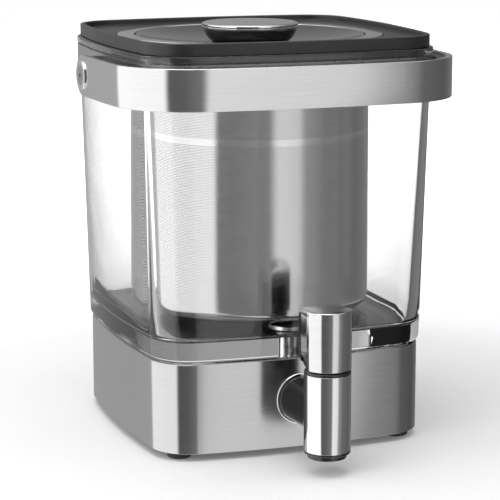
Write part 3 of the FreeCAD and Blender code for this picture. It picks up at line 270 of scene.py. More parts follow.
def tint(material, value, dark, light):
    """Two close colours, mixed by a noise."""
    ramp = add_node(material, "ShaderNodeValToRGB")
    ramp.color_ramp.elements[0].position = 0.3
    ramp.color_ramp.elements[1].position = 0.7
    ramp.color_ramp.elements[0].color = (*dark, 1)
    ramp.color_ramp.elements[1].color = (*light, 1)
    join(material, value, ramp.inputs["Fac"])
    return ramp.outputs["Color"]


def emboss(material, shader, height, depth, strength=1.0):
    """Bump of a depth in metres."""
    bump = add_node(material, "ShaderNodeBump")
    bump.inputs["Distance"].default_value = depth
    bump.inputs["Strength"].default_value = strength
    join(material, height, bump.inputs["Height"])
    join(material, bump.outputs["Normal"], shader.inputs["Normal"])


print("node helpers ready")

# %% Brushed steel, with the grain along the map's first direction
def make_brushed(name, tone, low, high, anisotropy=0.9):
    material, shader = new_finish(name, (tone, tone, tone), 1.0, low,
                                  Anisotropic=anisotropy, Anisotropic_Rotation=0.25)
    tangent = add_node(material, "ShaderNodeTangent", direction_type="UV_MAP", uv_map="grain")
    join(material, tangent.outputs["Tangent"], shader.inputs["Tangent"])
    fine = noise_on(material, place_on(material, stretch=(0.07, 7.0, 1.0)), detail=4)
    coarse = noise_on(material, place_on(material, stretch=(0.035, 1.1, 1.0)), detail=2)
    join(material, spread(material, coarse, low, high), shader.inputs["Roughness"])
    dark = (tone * 0.97, tone * 0.97, tone * 0.975)
    light = (min(tone * 1.02, 0.95),) * 3
    join(material, tint(material, coarse, dark, light), shader.inputs["Base Color"])
    emboss(material, shader, fine, 0.00002, 0.22)
    return material


brushed_steel = make_brushed("brushed_steel", 0.72, 0.16, 0.2)
# The base's steel is the bail's brushed steel painted darker: painted shade for the base's darker
# reflections.
shaded_base_steel = make_brushed("shaded_base_steel", 0.58, 0.17, 0.22)
lever_steel = make_brushed("lever_steel", 0.7, 0.12, 0.17)
print("brushed finishes:", brushed_steel.name, shaded_base_steel.name, lever_steel.name)

# %% [markdown]
# Bright trim is polished instead, so it shows the room almost like a mirror: low roughness, plus a
# very faint waviness, because pressed metal is never optically flat. Screws, nuts and pins are
# plain turned steel, duller and with fine tool marks.

# %% Polished and turned steel
polished_steel, shader = new_finish("polished_steel", (0.82, 0.82, 0.83), 1.0, 0.05)
wander = noise_on(polished_steel, place_on(polished_steel, grain=False, stretch=(60, 60, 60)))
join(polished_steel, spread(polished_steel, wander, 0.035, 0.09), shader.inputs["Roughness"])
emboss(polished_steel, shader, wander, 0.00002, 0.25)

turned_steel, shader = new_finish("turned_steel", (0.5, 0.5, 0.5), 1.0, 0.3)
marks = noise_on(turned_steel, place_on(turned_steel, grain=False, stretch=(700, 700, 700)))
join(turned_steel, spread(turned_steel, marks, 0.24, 0.42), shader.inputs["Roughness"])
join(turned_steel, tint(turned_steel, marks, (0.42, 0.42, 0.42), (0.56, 0.56, 0.57)),
     shader.inputs["Base Color"])
print("polished finishes:", polished_steel.name, turned_steel.name)

# %% [markdown]
# The steeper is drawn steel with a fine pattern of etched holes. Modelling a hundred thousand
# holes would choke any mesh, so the shader draws them: the grain map is cut into rows of cells,
# every second row is shifted by half a cell, and the distance to each cell's centre gives a dot.
# One plain band runs round the wall as a fill mark, and the dots stop below the top and above the
# curled bottom edge.

# %% Perforated steel
HOLE_PITCH, HOLE_RADIUS = 1.05, 0.27


def sum_of(material, operation, first, second=None, third=None):
    """One math step; numbers are written to the socket and sockets are linked."""
    node = add_node(material, "ShaderNodeMath", operation=operation)
    for socket, entry in zip(node.inputs, (first, second, third)):
        if entry is None:
            continue
        if isinstance(entry, (int, float)):
            socket.default_value = entry
        else:
            join(material, entry, socket)
    return node.outputs["Value"]


def hole_mask(material, plain_bands):
    """1 in a hole and 0 on the metal, in a staggered pattern on the grain map."""
    split = add_node(material, "ShaderNodeSeparateXYZ")
    join(material, place_on(material), split.inputs["Vector"])
    row_height = HOLE_PITCH * 0.866
    level = sum_of(material, "DIVIDE", split.outputs["Y"], row_height)
    row = sum_of(material, "FLOOR", level)
    shift = sum_of(material, "MULTIPLY", row, 0.5)
    column = sum_of(material, "DIVIDE", split.outputs["X"], HOLE_PITCH)
    column = sum_of(material, "FRACT", sum_of(material, "ADD", column, shift))
    across = sum_of(material, "MULTIPLY", sum_of(material, "SUBTRACT", column, 0.5), HOLE_PITCH)
    up = sum_of(material, "SUBTRACT", sum_of(material, "FRACT", level), 0.5)
    up = sum_of(material, "MULTIPLY", up, row_height)
    square = sum_of(material, "MULTIPLY", up, up)
    away = sum_of(material, "SQRT", sum_of(material, "MULTIPLY_ADD", across, across, square))
    mask = sum_of(material, "LESS_THAN", away, HOLE_RADIUS)
    for low, high in plain_bands:
        height = add_node(material, "ShaderNodeSeparateXYZ")
        join(material, add_node(material, "ShaderNodeTexCoord").outputs["Object"],
             height.inputs["Vector"])
        above = sum_of(material, "GREATER_THAN", height.outputs["Z"], low * MM)
        below = sum_of(material, "LESS_THAN", height.outputs["Z"], high * MM)
        inside = sum_of(material, "MULTIPLY", above, below)
        mask = sum_of(material, "MULTIPLY", mask, sum_of(material, "SUBTRACT", 1.0, inside))
    return mask


perforated_steel, shader = new_finish("perforated_steel", (0.7, 0.7, 0.7), 1.0, 0.12)
holes = hole_mask(perforated_steel, [(0.0, 80.0), (180.0, 184.0), (226.0, 300.0)])
mix = add_node(perforated_steel, "ShaderNodeMix", data_type="RGBA")
mix.inputs["A"].default_value = (0.78, 0.78, 0.78, 1)
mix.inputs["B"].default_value = (0.1, 0.1, 0.1, 1)
join(perforated_steel, holes, mix.inputs["Factor"])
join(perforated_steel, mix.outputs["Result"], shader.inputs["Base Color"])
wander = noise_on(perforated_steel, place_on(perforated_steel, stretch=(0.05, 0.4, 1.0)))
join(perforated_steel, spread(perforated_steel, wander, 0.09, 0.16), shader.inputs["Roughness"])
print("hole pitch", HOLE_PITCH, "mm, radius", HOLE_RADIUS, "mm")

# %% [markdown]
# The jar is pressed soda glass: thick below, thinner at the rim, perfectly clear with a faint
# green body colour that only shows where it is deep. Its surface is polished, but moulded glass
# ripples a little, most of all in the heavy floor, so a broad shallow bump bends what is seen
# through it.

# %% Clear glass
clear_glass, shader = new_finish("clear_glass", (1.0, 1.0, 1.0), 0.0, 0.0,
                                 Transmission_Weight=1.0, IOR=1.5)
ripple = noise_on(clear_glass, place_on(clear_glass, grain=False, stretch=(18, 18, 30)), detail=1)
emboss(clear_glass, shader, ripple, 0.0008, 0.12)
haze = noise_on(clear_glass, place_on(clear_glass, grain=False, stretch=(40, 40, 40)))
join(clear_glass, spread(clear_glass, haze, 0.0, 0.012), shader.inputs["Roughness"])
print("glass index", shader.inputs["IOR"].default_value)

# %% [markdown]
# Three black plastics and rubbers are easy to make look alike. What tells them apart is gloss: the
# cover and the tap are moulded glossy, the lid frame and the grip have a fine satin texture, and
# the feet and seals are dull rubber. Each has its own roughness, grain size and depth of bump.

# %% Black mouldings
def make_moulding(name, tone, low, high, grain_scale, depth, coat=0.0):
    material, shader = new_finish(name, (tone, tone, tone * 1.02), 0.0, low, Coat_Weight=coat,
                                  Coat_Roughness=0.04)
    vector = place_on(material, grain=False, stretch=(grain_scale,) * 3)
    grain_noise = noise_on(material, vector, detail=2)
    broad = noise_on(material, place_on(material, grain=False, stretch=(35, 35, 35)))
    join(material, spread(material, broad, low, high), shader.inputs["Roughness"])
    join(material, tint(material, grain_noise, (tone * 0.8,) * 3, (tone * 1.2,) * 3),
         shader.inputs["Base Color"])
    emboss(material, shader, grain_noise, depth, 0.5)
    return material


gloss_black = make_moulding("gloss_black", 0.02, 0.1, 0.18, 160, 0.00003, coat=0.3)
satin_black = make_moulding("satin_black", 0.022, 0.32, 0.42, 1500, 0.00004)
soft_black = make_moulding("soft_black", 0.03, 0.55, 0.7, 1100, 0.00006)
print("mouldings:", gloss_black.name, satin_black.name, soft_black.name)

# %% [markdown]
# The glass jar comes first. One loop of outlines goes up the outside, over the rounded bead at
# the rim, down the inside, across the thick floor to the drain hole and back under the foot. Since
# the skin is one closed wall of real thickness, the shader bends light twice, as glass does.

# %% Glass jar
def tapered(z, low, high, low_z, high_z):
    return low + (high - low) * (z - low_z) / (high_z - low_z)


def jar_outlines():
    rings = []
    for step in range(7):
        angle = radians(15 * step)
        inset, z = 3.5 * (1 - sin(angle)), GLASS_FOOT + 3.5 * (1 - cos(angle))
        half = tapered(z, GLASS_LOW_HALF, GLASS_HIGH_HALF, GLASS_FOOT, GLASS_BEAD)
        rings.append(bowed_plan(half - inset, GLASS_CORNER - inset, z))
    for step in range(1, 13):
        z = GLASS_FOOT + 3.5 + (GLASS_BEAD - GLASS_FOOT - 3.5) * step / 12
        half = tapered(z, GLASS_LOW_HALF, GLASS_HIGH_HALF, GLASS_FOOT, GLASS_BEAD)
        rings.append(bowed_plan(half, GLASS_CORNER, z))
    bead = eased([(0.0, GLASS_BEAD), (1.2, GLASS_BEAD, 0.9), (1.2, GLASS_TOP, 1.1),
                  (-3.0, GLASS_TOP, 0.7), (-3.02, GLASS_TOP - 3)], closed=False)
    rings += bowed_rings(GLASS_HIGH_HALF, GLASS_CORNER, bead[1:])
    for step in range(1, 13):
        z = GLASS_TOP - 3 + (WELL_FLOOR + 4 - GLASS_TOP + 3) * step / 12
        half = tapered(z, WELL_LOW_HALF, WELL_HIGH_HALF, WELL_FLOOR, GLASS_TOP)
        corner = tapered(z, GLASS_CORNER - 6.4, GLASS_CORNER - 3, WELL_FLOOR, GLASS_TOP)
        rings.append(bowed_plan(half, corner, z))
    for step in range(5, -1, -1):
        angle = radians(15 * step)
        inset, z = 4 * (1 - sin(angle)), WELL_FLOOR + 4 * (1 - cos(angle))
        rings.append(bowed_plan(WELL_LOW_HALF - inset, GLASS_CORNER - 6.4 - inset, z))
    rings.append(round_plan(DRAIN_HOLE, WELL_FLOOR, DRAIN_Y))
    rings.append(round_plan(DRAIN_HOLE, GLASS_FOOT, DRAIN_Y))
    return rings


glass_jar = skin("glass_jar", jar_outlines(), wrap=True)
glass_jar.data.materials.append(clear_glass)
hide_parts("brew_jar")
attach(glass_jar, "base_and_jar")

# %% [markdown]
# The base is a drawn steel shell, open below, with its top edge turned in under the glass. Its
# profile is written as steps from the outline: up the outside, round the bent edge, in along the
# flange and back down the inside.

# %% Steel base shell
shell_profile = eased([(0.0, BASE_FOOT, 0.3), (0.0, BASE_TOP, 1.1), (-7.0, BASE_TOP, 0.3),
                       (-7.0, BASE_TOP - 1.0), (-1.0, BASE_TOP - 1.0), (-1.0, BASE_FOOT)])
steel_base = skin("steel_base", bowed_rings(BASE_HALF, BASE_CORNER, shell_profile), wrap=True)
# The base wears the darker copy of the brushed steel, which is painted shade.
steel_base.data.materials.append(shaded_base_steel)
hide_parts("base_shell")
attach(steel_base, "base_and_jar")

# %% [markdown]
# The bail is a flat steel strip bent round the jar. A strip bent in reality keeps its thickness
# and its grain along its length, so it is swept: an eased cross-section is set square to the path
# at each point. Past the pivots the section gets lower and lower, which draws the round ends.

# %% Bail strap
STRAP_END, STRAP_WALL = 12.0, 3.5


def strap_path():
    """Outer face of the bail from the right end round the front to the left end, in mm."""
    ring = bowed_plan(STRAP_HALF, STRAP_CORNER, PIVOT_Z, STRAP_BOW)
    front = sorted((p for p in ring if p[1] < -1), key=lambda p: -atan2(p[1], p[0]))
    side = []
    for step in range(13):
        y = STRAP_END * cos(radians(7.5 * step))
        side.append((STRAP_HALF - STRAP_BOW + sqrt(STRAP_BOW ** 2 - y * y), y, PIVOT_Z))
    return side + front + [(-x, y, z) for x, y, z in reversed(side)]


def swept_strip(name, path, thick, half_height, ease):
    """Sweep an upright strip inwards from a path; half_height gives its height at a point."""
    rings = []
    for number, point in enumerate(path):
        before = Vector(path[max(number - 1, 0)])
        after = Vector(path[min(number + 1, len(path) - 1)])
        ahead = (after - before).normalized()
        outward = Vector((ahead.y, -ahead.x, 0))
        if outward.dot(Vector((point[0], point[1], 0))) < 0:
            outward = -outward
        high = max(half_height(point), 0.05)
        bend = min(ease, high * 0.4)
        section = eased([(0, high, bend), (0, -high, bend), (-thick, -high, bend),
                         (-thick, high, bend)], steps=3)
        rings.append([tuple(Vector(point) + outward * out + Vector((0, 0, up)))
                      for out, up in section])
    return skin(name, rings, cap=True, lengthwise=True)


def strap_height(point):
    return STRAP_END if point[1] <= 0 else sqrt(max(STRAP_END ** 2 - point[1] ** 2, 0))


bail_strap = swept_strip("bail_strap", strap_path(), STRAP_WALL, strap_height, 0.45)
bail_strap.data.materials.append(brushed_steel)
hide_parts("handle_strap")
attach(bail_strap, "handle")

# %% [markdown]
# The lid frame changes shape as it goes in: square outside, round at the mouth where the steeper
# hangs. Because circles and bowed squares have the same number of points here, the flat shelf
# between them skins in one step, without a boolean.

# %% Lid frame
FLANGE_SEAT, MOUTH = 238.2, 72.2
SKIRT, SKIRT_FOOT = -3.6, 228.7


def lid_outlines():
    outer = eased([(0.0, LID_FOOT, 0.3), (0.0, LID_TOP, 0.8), (-3.0, LID_TOP, 0.7),
                   (-3.0, SHELF, 0.5), (-12.0, SHELF)], closed=False)
    rings = bowed_rings(LID_HALF, LID_CORNER, [(-0.01, LID_FOOT)] + outer[1:-1])
    rings += [round_plan(80.9, SHELF), round_plan(80.6, SHELF - 0.25)]
    rings += [round_plan(80.6, FLANGE_SEAT), round_plan(MOUTH, FLANGE_SEAT)]
    rings += [round_plan(MOUTH, SKIRT_FOOT + 2), round_plan(MOUTH + 2.4, SKIRT_FOOT + 2)]
    rings += [round_plan(MOUTH + 2.4, LID_FOOT)]
    inner = [(-6.0, LID_FOOT), (-6.0, SKIRT_FOOT), (SKIRT, SKIRT_FOOT), (SKIRT, SKIRT_FOOT + 2),
             (SKIRT - 0.9, SKIRT_FOOT + 2), (SKIRT - 0.9, SKIRT_FOOT + 4),
             (SKIRT, SKIRT_FOOT + 4), (SKIRT, LID_FOOT)]
    return rings + bowed_rings(LID_HALF, LID_CORNER, inner)


lid_frame = skin("lid_frame", lid_outlines(), wrap=True)
lid_frame.data.materials.append(satin_black)
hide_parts("jar_lid")
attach(lid_frame, "lid")

# %% [markdown]
# The steeper is a deep cup with a curled bottom edge, and a flange welded to its mouth. Both are
# turned. The cup's profile runs down the outside and up the inside, so its wall has a thickness
# and its rim is closed.

# %% Steeper cup and flange
CUP, CUP_FLOOR, FLANGE_FOOT = 71.5, 73.5, 238.5
cup_profile = eased([(0.0, CUP_FLOOR), (CUP, CUP_FLOOR, 8.0), (CUP, FLANGE_FOOT),
                     (CUP - 0.8, FLANGE_FOOT), (CUP - 0.8, CUP_FLOOR + 0.8, 7.2),
                     (0.0, CUP_FLOOR + 0.8)], steps=10, closed=False)
steeper_cup = turned_piece("steeper_cup", cup_profile, closed=False)
steeper_cup.data.materials.append(perforated_steel)
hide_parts("steeper_basket")

flange_profile = eased([(80.3, FLANGE_FOOT, 0.3), (80.3, 239.7, 0.4), (69.95, 239.7, 0.5),
                        (69.95, 234.3), (67.35, 234.3, 0.2), (67.35, 233.5, 0.2),
                        (70.65, 233.5), (70.65, FLANGE_FOOT)])
steeper_flange = turned_piece("steeper_flange", flange_profile)
steeper_flange.data.materials.append(lever_steel)
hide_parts("steeper_rim")
for piece in (steeper_cup, steeper_flange):
    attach(piece, "steeper")

# %% [markdown]
# The cover sits inside the flange: a glossy dish that sinks towards the knob. The knob is a black
# bowl with a steel cap, whose lip, upright band and bevel each catch their own line of light.

# %% Cover dish
DISC, DISC_FOOT, DISC_TOP, DISH_FLOOR = 69.3, 234.6, 239.5, 234.1
HUB, SCREW_HOLE = 7.0, 2.05


def arc_points(start, end, radius, side, steps=24):
    """Points on a long arc between two profile points, bulging to one side."""
    first, last = Vector(start), Vector(end)
    chord = last - first
    normal = Vector((-chord.y, chord.x)).normalized() * side
    centre = (first + last) / 2 + normal * sqrt(radius ** 2 - (chord.length / 2) ** 2)
    spokes = first - centre, last - centre
    sweep = spokes[0].angle(spokes[1])
    return [tuple(centre + (spokes[0] * sin((1 - k / steps) * sweep)
                            + spokes[1] * sin(k / steps * sweep)) / sin(sweep))
            for k in range(steps + 1)]


dish = arc_points((DISC - 1.2, DISC_TOP), (24.0, DISH_FLOOR), 240.0, -1)
cover_profile = [(SCREW_HOLE, 227.1), (HUB, 227.1), (HUB, 232.1), (26.0, 232.1), (65.7, 237.1),
                 (65.7, DISC_FOOT), (DISC, DISC_FOOT), (DISC, 235.7), (DISC - 1, 235.7),
                 (DISC - 1, 237.7), (DISC, 237.7), (DISC, DISC_TOP - 0.4),
                 (DISC - 0.12, DISC_TOP - 0.12), (DISC - 0.4, DISC_TOP)] + dish
cover_profile.append((SCREW_HOLE, DISH_FLOOR))
cover_dish = turned_piece("cover_dish", cover_profile)
cover_dish.data.materials.append(gloss_black)
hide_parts("steeper_lid")
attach(cover_dish, "steeper_cover")

# %% Knob bowl and cap
KNOB_TOP = 242.5
bowl_side = arc_points((23.3, DISH_FLOOR + 0.8), (28.3, KNOB_TOP), 13.0, 1)
bowl_profile = [(0.0, DISH_FLOOR), (22.0, DISH_FLOOR), (22.9, DISH_FLOOR + 0.25)] + bowl_side
bowl_profile += [(28.1, KNOB_TOP + 0.02), (0.0, KNOB_TOP + 0.02)]
knob_bowl = turned_piece("knob_bowl", bowl_profile, closed=False)
knob_bowl.data.materials.append(gloss_black)
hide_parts("lid_knob_body")
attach(knob_bowl, "steeper_cover")

cap_crown = arc_points((27.6, KNOB_TOP + 3.95), (0.0, KNOB_TOP + 4.6), 586.3, 1)
cap_profile = eased([(0.0, KNOB_TOP), (28.3, KNOB_TOP), (29.2, KNOB_TOP + 0.9, 0.5),
                     (29.2, KNOB_TOP + 3.2, 0.35), (28.0, KNOB_TOP + 3.7, 0.5)], closed=False)
knob_cap = turned_piece("knob_cap", cap_profile[:-1] + cap_crown, closed=False)
knob_cap.data.materials.append(polished_steel)
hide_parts("lid_knob_cap")
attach(knob_cap, "steeper_cover")

# %% [markdown]
# The tap's column wears a polished half sleeve on its front. It is swept like the bail, along a
# half circle, so that its long edges are eased and its mirror finish stays free of facets.

# %% Polished half sleeve
def half_circle(radius, back, y, z, steps=64):
    """From the right end round the front to the left end of an arc that stops at a local y."""
    reach = radians(90) + atan2(back, sqrt(radius ** 2 - back ** 2))
    angles = [-pi / 2 + reach - 2 * reach * k / steps for k in range(steps + 1)]
    return [(radius * cos(a), y + radius * sin(a), z) for a in angles]


def swept_arc(name, path, thick, low, high, centre_y, ease=0.25):
    """An upright strip along a path; low gives its foot at each local y, high is its top."""
    rings = []
    for point in path:
        outward = Vector((point[0], point[1] - centre_y, 0)).normalized()
        if abs(point[0]) > COLUMN_RAD - 0.2 and point[1] - centre_y > 0.9:
            outward = Vector((1 if point[0] > 0 else -1, 0, 0))
        bottom = low(point[1] - centre_y)
        section = eased([(0, high, ease), (0, bottom, ease), (-thick, bottom, ease),
                         (-thick, high, ease)], steps=3)
        rings.append([tuple(Vector((point[0], point[1], 0)) + outward * out + Vector((0, 0, up)))
                      for out, up in section])
    return skin(name, rings, cap=True, lengthwise=True)


sleeve = swept_arc("sleeve", half_circle(COLUMN_RAD, 0.8, TAP_Y, 0), 0.88, lambda y: 13.9, 58.8,
                   TAP_Y)
sleeve.data.materials.append(polished_steel)
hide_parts("tap_sleeve")
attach(sleeve, "base_and_jar")

# %% [markdown]
# The lever's steel shell has a half-round front, straight sides and a domed top. Its lower back
# edge follows a curve, so that the lever can tip back without touching the column. The wall is
# swept with a foot that rises along that curve, and the roof is a stack of shrinking outlines
# laid on a sphere.

# %% Lever shell
HEEL_FRONT, HEEL_BACK, HEEL_RISE, HEEL_BOW = -3.5, 13.3, 9.0, 22.0


def heel_height(y):
    """The height of the undercut at a local y."""
    if y <= HEEL_FRONT:
        return LEVER_FOOT
    first, last = Vector((HEEL_FRONT, LEVER_FOOT)), Vector((HEEL_BACK, LEVER_FOOT + HEEL_RISE))
    chord = last - first
    normal = Vector((chord.y, -chord.x)).normalized()
    centre = (first + last) / 2 + normal * sqrt(HEEL_BOW ** 2 - (chord.length / 2) ** 2)
    return centre.y + sqrt(HEEL_BOW ** 2 - (y - centre.x) ** 2)


def lever_path():
    front = half_circle(COLUMN_RAD, 0.0, TAP_Y, 0)
    sides = [(COLUMN_RAD, TAP_Y + y, 0) for y in (7.0, 6.0, 5.0, 4.0, 3.0, 2.0, 1.0)]
    return sides + front + [(-x, y, z) for x, y, z in reversed(sides)]


def lever_roof(x, y):
    return LEVER_TOP - LEVER_DOME + sqrt(LEVER_DOME ** 2 - x * x - y * y)


def roof_outline():
    """The roof's outline about the tap's axis: round front, straight sides, eased back corners."""
    front = [(COLUMN_RAD * cos(a), COLUMN_RAD * sin(a))
             for a in [pi + pi * k / 64 for k in range(65)]]
    corner = [(COLUMN_RAD - 2.6 + 2.6 * cos(radians(a)), 10.6 + 2.6 * sin(radians(a)))
              for a in range(0, 91, 10)]
    sides = [(COLUMN_RAD, y) for y in (2.0, 4.0, 6.0, 8.0)]
    back = [(x, 13.2) for x in (8.0, 5.0, 2.0, -2.0, -5.0, -8.0)]
    right = sides + corner
    return front + right + back + [(-x, y) for x, y in reversed(right)]


lever_wall = swept_arc("lever_wall", lever_path(), 0.9, heel_height, 92.6, TAP_Y, ease=0.2)
outline = roof_outline()
roof_rings = [[(x * 0.999, TAP_Y + y * 0.999, 92.4) for x, y in outline],
              [(x, TAP_Y + y, 92.5) for x, y in outline]]
for inset in (0.0, 0.06, 0.2, 0.45):
    shrink = 1 - inset / COLUMN_RAD
    sink = 0.45 - sqrt(0.45 ** 2 - (0.45 - inset) ** 2)
    roof_rings.append([(x * shrink, TAP_Y + y * shrink, lever_roof(x * shrink, y * shrink) - sink)
                       for x, y in outline])
for shrink in (0.9, 0.75, 0.6, 0.45, 0.3, 0.15, 1e-6):
    roof_rings.append([(x * shrink, TAP_Y + y * shrink, lever_roof(x * shrink, y * shrink))
                       for x, y in outline])
floor_ring = [[(x * 1e-6, TAP_Y + y * 1e-6, 92.4) for x, y in outline]]
lever_cap = skin("lever_cap", floor_ring + roof_rings)
for piece in (lever_wall, lever_cap):
    piece.data.materials.append(lever_steel)
    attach(piece, "lever")
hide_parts("tap_lever_shell")
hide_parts("tap_lever_shell")

# %% [markdown]
# The small pieces stay as the CAD model has them. Each only needs its finish, chosen by what it is
# made of.

# %% Finish the CAD pieces
finishes = {
    "brushed_steel": turned_steel, "polished_steel": polished_steel, "plain_steel": turned_steel,
    "black_gloss": gloss_black, "black_matte": satin_black, "black_rubber": soft_black,
    "clear_glass": clear_glass,
}
slots = {part["node"]: part["material_slot"] for part in frame["record"]["subparts"]}
for name, node in frame["nodes"].items():
    node.data.materials.clear()
    node.data.materials.append(finishes[slots[name]])
print("CAD pieces finished:", len(frame["nodes"]))

# %% [markdown]
# The floor is pale and soft. Its own colour carries the light near the object, where the shadow
# falls, and it fades to the white of the room further out, so no horizon shows. Rays that have
# met a mirror pass through it, so that the steel mirrors the studio right down to its foot.

# %% Floor
FLOOR_RADIUS = 3.0
bpy.ops.mesh.primitive_circle_add(vertices=96, radius=FLOOR_RADIUS, fill_type="NGON",
                                  location=(0, 0, 0))
floor = bpy.context.object
floor.name = "floor"
pale, shader = new_finish("pale_floor", (0.88, 0.88, 0.88), 0.0, 0.6)
mottle = noise_on(pale, place_on(pale, grain=False, stretch=(90, 90, 90)))
join(pale, spread(pale, mottle, 0.5, 0.7), shader.inputs["Roughness"])
rays = add_node(pale, "ShaderNodeLightPath")
seen = sum_of(pale, "ADD", rays.outputs["Is Camera Ray"], rays.outputs["Is Transmission Ray"])
seen = sum_of(pale, "ADD", seen, rays.outputs["Is Glossy Ray"])
spot = add_node(pale, "ShaderNodeTexCoord")
length = add_node(pale, "ShaderNodeVectorMath", operation="LENGTH")
join(pale, spot.outputs["Object"], length.inputs[0])
fade = spread(pale, length.outputs["Value"], 0.1, 1.0, start=0.25, end=0.8)
shader.inputs["Emission Color"].default_value = (1, 1, 1, 1)
join(pale, sum_of(pale, "MULTIPLY", sum_of(pale, "MINIMUM", seen, 1.0), fade),
     shader.inputs["Emission Strength"])
mirrored = sum_of(pale, "GREATER_THAN", rays.outputs["Glossy Depth"], 0.5)
see_past = add_node(pale, "ShaderNodeMixShader")
join(pale, mirrored, see_past.inputs[0])
join(pale, shader.outputs["BSDF"], see_past.inputs[1])
join(pale, add_node(pale, "ShaderNodeBsdfTransparent").outputs["BSDF"], see_past.inputs[2])
join(pale, see_past.outputs["Shader"],
     pale.node_tree.nodes["Material Output"].inputs["Surface"])
floor.data.materials.append(pale)
floor.visible_glossy = False
print("floor radius", FLOOR_RADIUS, "m")

# %% [markdown]
# Polished and brushed metal is only as good as the room that it mirrors. A product studio hangs
# tall white and grey cards round the object, outside the picture. Here one tall ring of cards
# stands in for them: a wide white card on the left, a grey gap towards the camera, a white strip
# to the front right and darker cards behind. Only rays that have met a mirror see it: the others
# pass through, so the jar still looks clear against the white room.

# %% Ring of studio cards
CARD_RADIUS = 3.0
CARD_LEVELS = [(-180, 0.42), (-150, 0.26), (-100, 0.12), (-55, 0.16), (-34, 0.34), (-27, 0.86),
               (-6, 0.98), (2, 0.22), (26, 0.13), (49, 0.12), (55, 1.30), (138, 1.38),
               (143, 0.52), (180, 0.42)]


def card_ring():
    """A tall open ring round the object."""
    steps = 120
    rings = []
    for height in (-3.5, 3.0):
        rings.append([(CARD_RADIUS * 1000 * cos(2 * pi * k / steps),
                       CARD_RADIUS * 1000 * sin(2 * pi * k / steps), height * 1000)
                      for k in range(steps)])
    return skin("studio_cards", rings)


cards = card_ring()
card_paint = bpy.data.materials.new("card_paint")
card_paint.use_nodes = True
card_paint.node_tree.nodes.clear()
where = add_node(card_paint, "ShaderNodeSeparateXYZ")
join(card_paint, add_node(card_paint, "ShaderNodeTexCoord").outputs["Object"],
     where.inputs["Vector"])
flip = sum_of(card_paint, "MULTIPLY", where.outputs["Y"], -1.0)
left = sum_of(card_paint, "MULTIPLY", where.outputs["X"], -1.0)
bearing = sum_of(card_paint, "ARCTAN2", left, flip)
share = sum_of(card_paint, "MULTIPLY_ADD", bearing, 1 / (2 * pi), 0.5)
ramp = add_node(card_paint, "ShaderNodeValToRGB")
stops = ramp.color_ramp.elements
for number, (angle, level) in enumerate(CARD_LEVELS):
    place = (angle + 180) / 360
    stop = stops[number] if number < 2 else stops.new(place)
    stop.position = place
    stop.color = (level / 1.4, level / 1.4, level / 1.4, 1)
join(card_paint, share, ramp.inputs["Fac"])
glow = add_node(card_paint, "ShaderNodeEmission")
glow.inputs["Strength"].default_value = 1.4
join(card_paint, ramp.outputs["Color"], glow.inputs["Color"])
path = add_node(card_paint, "ShaderNodeLightPath")
mirrored = sum_of(card_paint, "GREATER_THAN", path.outputs["Glossy Depth"], 0.5)
only_mirrored = add_node(card_paint, "ShaderNodeMixShader")
join(card_paint, mirrored, only_mirrored.inputs[0])
join(card_paint, add_node(card_paint, "ShaderNodeBsdfTransparent").outputs["BSDF"],
     only_mirrored.inputs[1])
join(card_paint, glow.outputs["Emission"], only_mirrored.inputs[2])
result = add_node(card_paint, "ShaderNodeOutputMaterial")
join(card_paint, only_mirrored.outputs["Shader"], result.inputs["Surface"])
cards.data.materials.append(card_paint)
for switch in ("visible_camera", "visible_diffuse", "visible_shadow"):
    setattr(cards, switch, False)
print("card levels:", len(CARD_LEVELS))

# %% [markdown]
# The room itself is white to the eye, to mirrors and to glass, and gives a calmer grey light to
# everything else, which keeps the blacks black. Two soft lamps add a gentle direction: a broad one
# above and a second from the left.

# %% Room and lamps
room = bpy.data.worlds.new("white_room")
bpy.context.scene.world = room
room.use_nodes = True
room.node_tree.nodes.clear()
room_rays = room.node_tree.nodes.new("ShaderNodeLightPath")


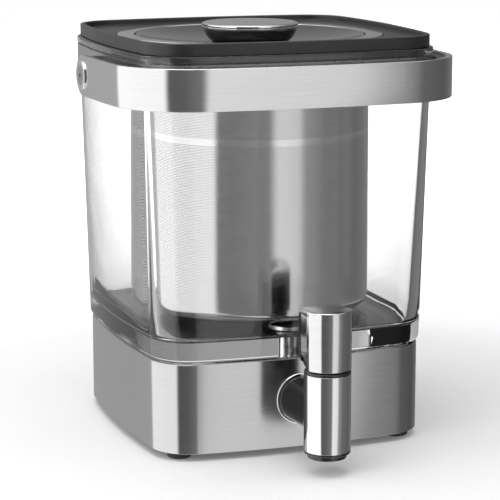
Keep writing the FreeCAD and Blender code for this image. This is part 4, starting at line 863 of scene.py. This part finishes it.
def room_step(first, second, operation="ADD"):
    node = room.node_tree.nodes.new("ShaderNodeMath")
    node.operation = operation
    for socket, entry in zip(node.inputs, (first, second)):
        if isinstance(entry, float):
            socket.default_value = entry
        else:
            room.node_tree.links.new(entry, socket)
    return node.outputs["Value"]


seen = room_step(room_rays.outputs["Is Camera Ray"], room_rays.outputs["Is Glossy Ray"])
seen = room_step(seen, room_rays.outputs["Is Transmission Ray"])
seen = room_step(seen, 1.0, "MINIMUM")
level = room_step(room_step(seen, 0.45, "MULTIPLY"), 0.55)
backdrop = room.node_tree.nodes.new("ShaderNodeBackground")
backdrop.inputs["Color"].default_value = (1, 1, 1, 1)
room.node_tree.links.new(level, backdrop.inputs["Strength"])
out = room.node_tree.nodes.new("ShaderNodeOutputWorld")
room.node_tree.links.new(backdrop.outputs["Background"], out.inputs["Surface"])


def soft_lamp(name, place, size, power, mirrored=True):
    """A square area lamp that faces the middle of the object."""
    lamp = bpy.data.lights.new(name, "AREA")
    lamp.size = size
    lamp.energy = power
    holder = bpy.data.objects.new(name, lamp)
    holder.location = place
    aim = Vector((0, -0.02, 0.13)) - Vector(place)
    holder.rotation_euler = aim.to_track_quat("-Z", "Y").to_euler()
    holder.visible_camera = False
    holder.visible_glossy = mirrored
    bpy.context.collection.objects.link(holder)
    print(name, power, "W at", place)
    return holder


soft_lamp("top_lamp", (-0.3, -0.2, 2.0), 1.6, 22)
soft_lamp("left_lamp", (-1.7, -0.9, 1.1), 1.2, 12, mirrored=False)

# %% [markdown]
# The camera stands where the photographer stood: about twenty degrees to the left of the tap,
# eleven degrees above level, with a long lens that keeps the jar's sides almost parallel.

# %% Camera
lens = bpy.data.cameras.new("camera")
lens.lens, lens.sensor_width = 147.28, 36.0
camera = bpy.data.objects.new("camera", lens)
camera.location = (-0.42277, -1.16586, 0.34659)
camera.rotation_euler = Vector((0.33465, 0.92286, -0.19064)).to_track_quat("-Z", "Y").to_euler()
bpy.context.collection.objects.link(camera)
bpy.context.scene.camera = camera
bpy.context.scene.view_settings.view_transform = "Standard"
print("camera azimuth", round(degrees(atan2(0.33465, 0.92286)), 1), "degrees")
